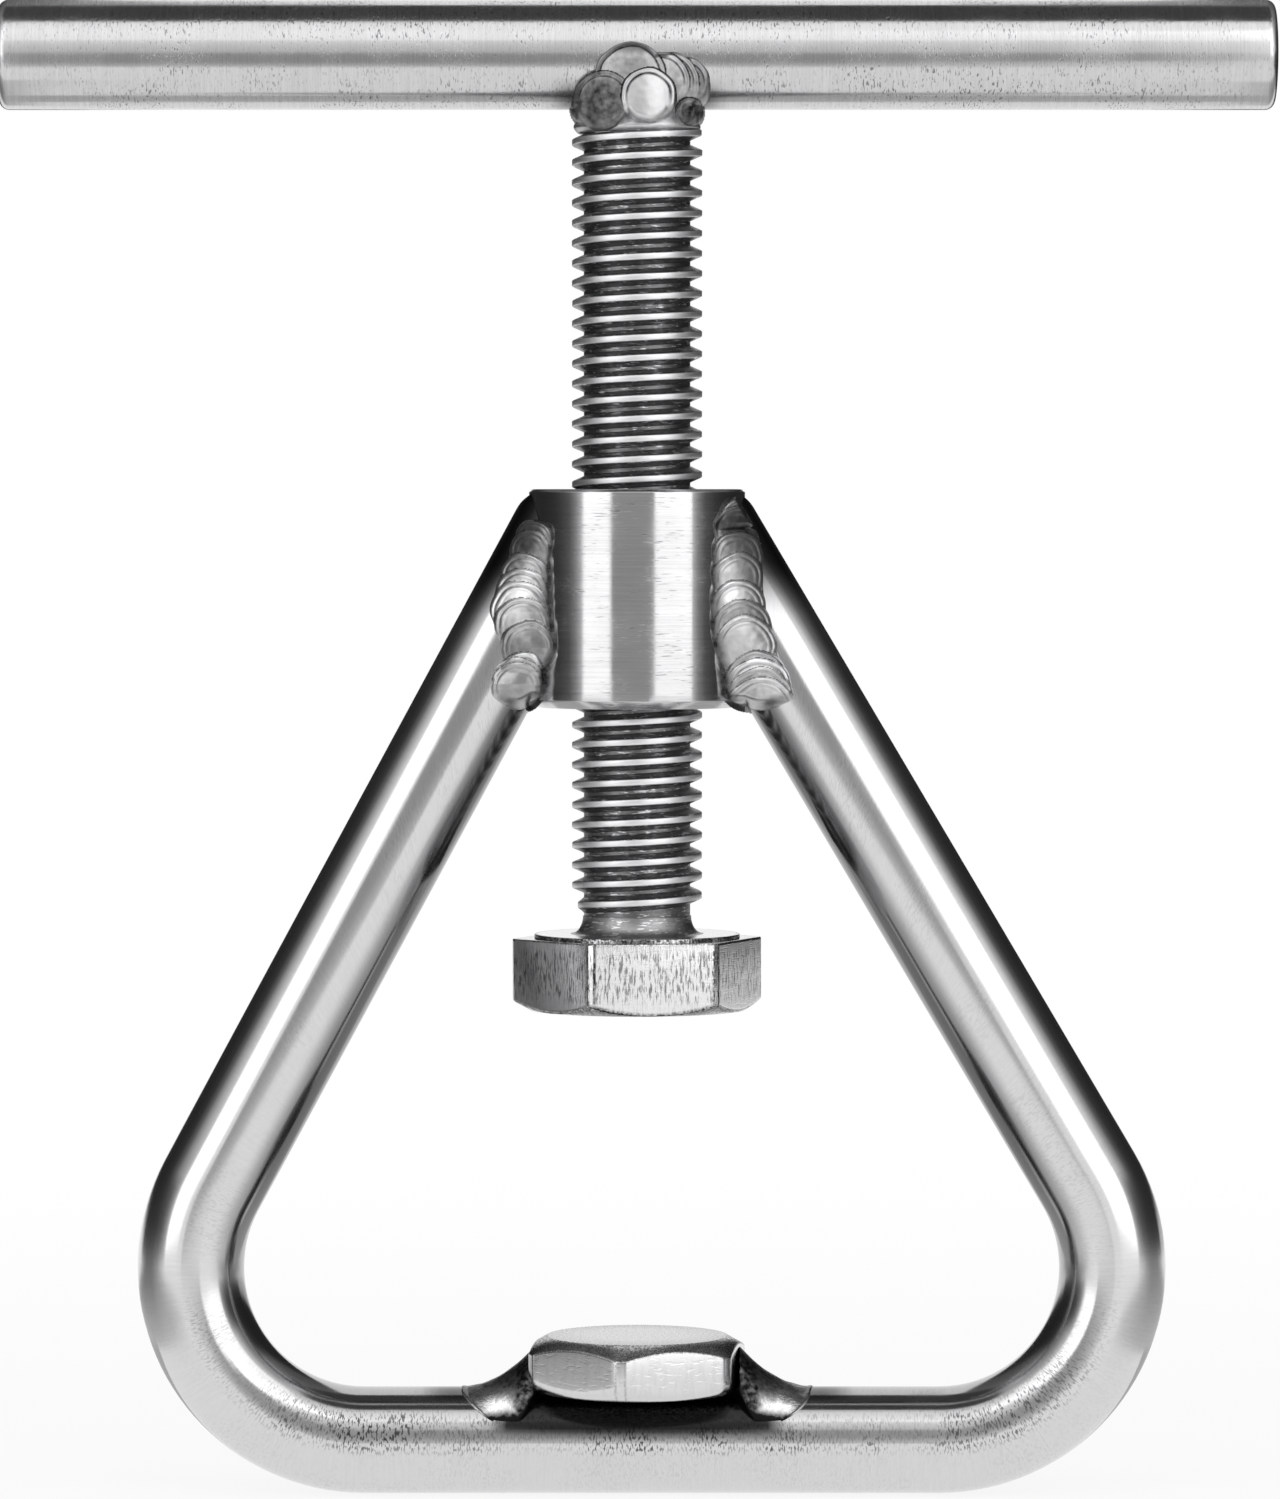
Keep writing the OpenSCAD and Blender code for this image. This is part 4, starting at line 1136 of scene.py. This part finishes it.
for name, (azimuth, elevation, distance, width, height, bright) in studio["softboxes"].items():
    lamp = bpy.data.lights.new(name, "AREA")
    lamp.shape = "RECTANGLE"
    lamp.size, lamp.size_y = width, height
    lamp.energy = bright * math.pi * width * height
    a, e = math.radians(azimuth), math.radians(elevation)
    towards = Vector((math.sin(a) * math.cos(e), -math.cos(a) * math.cos(e), math.sin(e)))
    box = bpy.data.objects.new(name, lamp)
    box.location = towards * distance + Vector((0, 0, studio["lampAim"]))
    box.rotation_mode = "QUATERNION"
    box.rotation_quaternion = towards.to_track_quat("Z", "Y")
    box.visible_camera = False
    scene.collection.objects.link(box)


# a board with a grey at each of its rows of points, seen by reflections alone
def addFlag(name, rows, greys):
    material, tree = newMaterial(name)
    grey = addNode(tree, "Attribute", {"attribute_name": "grey"})
    glow = addNode(tree, "Emission", {"Strength": 1.0}, {"Color": grey.outputs["Color"]})
    addNode(tree, "OutputMaterial", None, {"Surface": glow})
    mesh = bpy.data.meshes.new(name)
    mesh.from_pydata([p for row in rows for p in row], [], gridFaces(len(rows), len(rows[0]), False))
    colours = mesh.attributes.new("grey", "FLOAT_COLOR", "POINT")
    codes = [code for row in greys for code in row]
    colours.data.foreach_set("color", [c for code in codes for c in linearColour("#" + 3 * code)])
    mesh.materials.append(material)
    flag = bpy.data.objects.new(name, mesh)
    flag.visible_camera = False
    flag.visible_diffuse = False
    flag.visible_shadow = False
    flag.visible_transmission = False
    scene.collection.objects.link(flag)


for name, (side, heights) in studio["walls"].items():
    foot = []
    for azimuth in studio["wallAzimuths"]:
        a = math.radians(azimuth)
        foot.append((side * studio["wallRadius"] * math.sin(a), -studio["wallRadius"] * math.cos(a)))
    addFlag(name, [[(x, y, z) for x, y in foot] for z in heights],
            [greys.split() for greys in heights.values()])
for name, (columns, lines) in studio["floorBoards"].items():
    z = studio["floorBoardHeight"]
    addFlag(name, [[(x, y, z) for x in columns] for y in lines], [greys.split() for greys in lines.values()])
board = studio["topBoard"]
addFlag("flagTop", [[(x, y, board["height"]) for x in board["across"]] for y in board["deep"]],
        [[board["grey"]] * 2] * 2)
lines = studio["cameraBoard"]
addFlag("flagCamera", [[(x, studio["cameraBoardPlace"], z) for x in ends] for z, (*ends, _) in lines.items()],
        [[grey] * 2 for *_, grey in lines.values()])
print("studio done")

# Camera: level with the collar's top, looking slightly down
shot = {"place": (0.22, -554.0, 75.5), "aim": (0.22, 0.0, 55.9), "lens": 177.7, "sensor": 36.0}
lensData = bpy.data.cameras.new("shot")
lensData.lens = shot["lens"]
lensData.sensor_width = shot["sensor"]
camera = bpy.data.objects.new("shot", lensData)
camera.location = Vector(shot["place"]) * mm
camera.rotation_mode = "QUATERNION"
camera.rotation_quaternion = (Vector(shot["aim"]) - Vector(shot["place"])).to_track_quat("-Z", "Y")
scene.collection.objects.link(camera)
scene.camera = camera
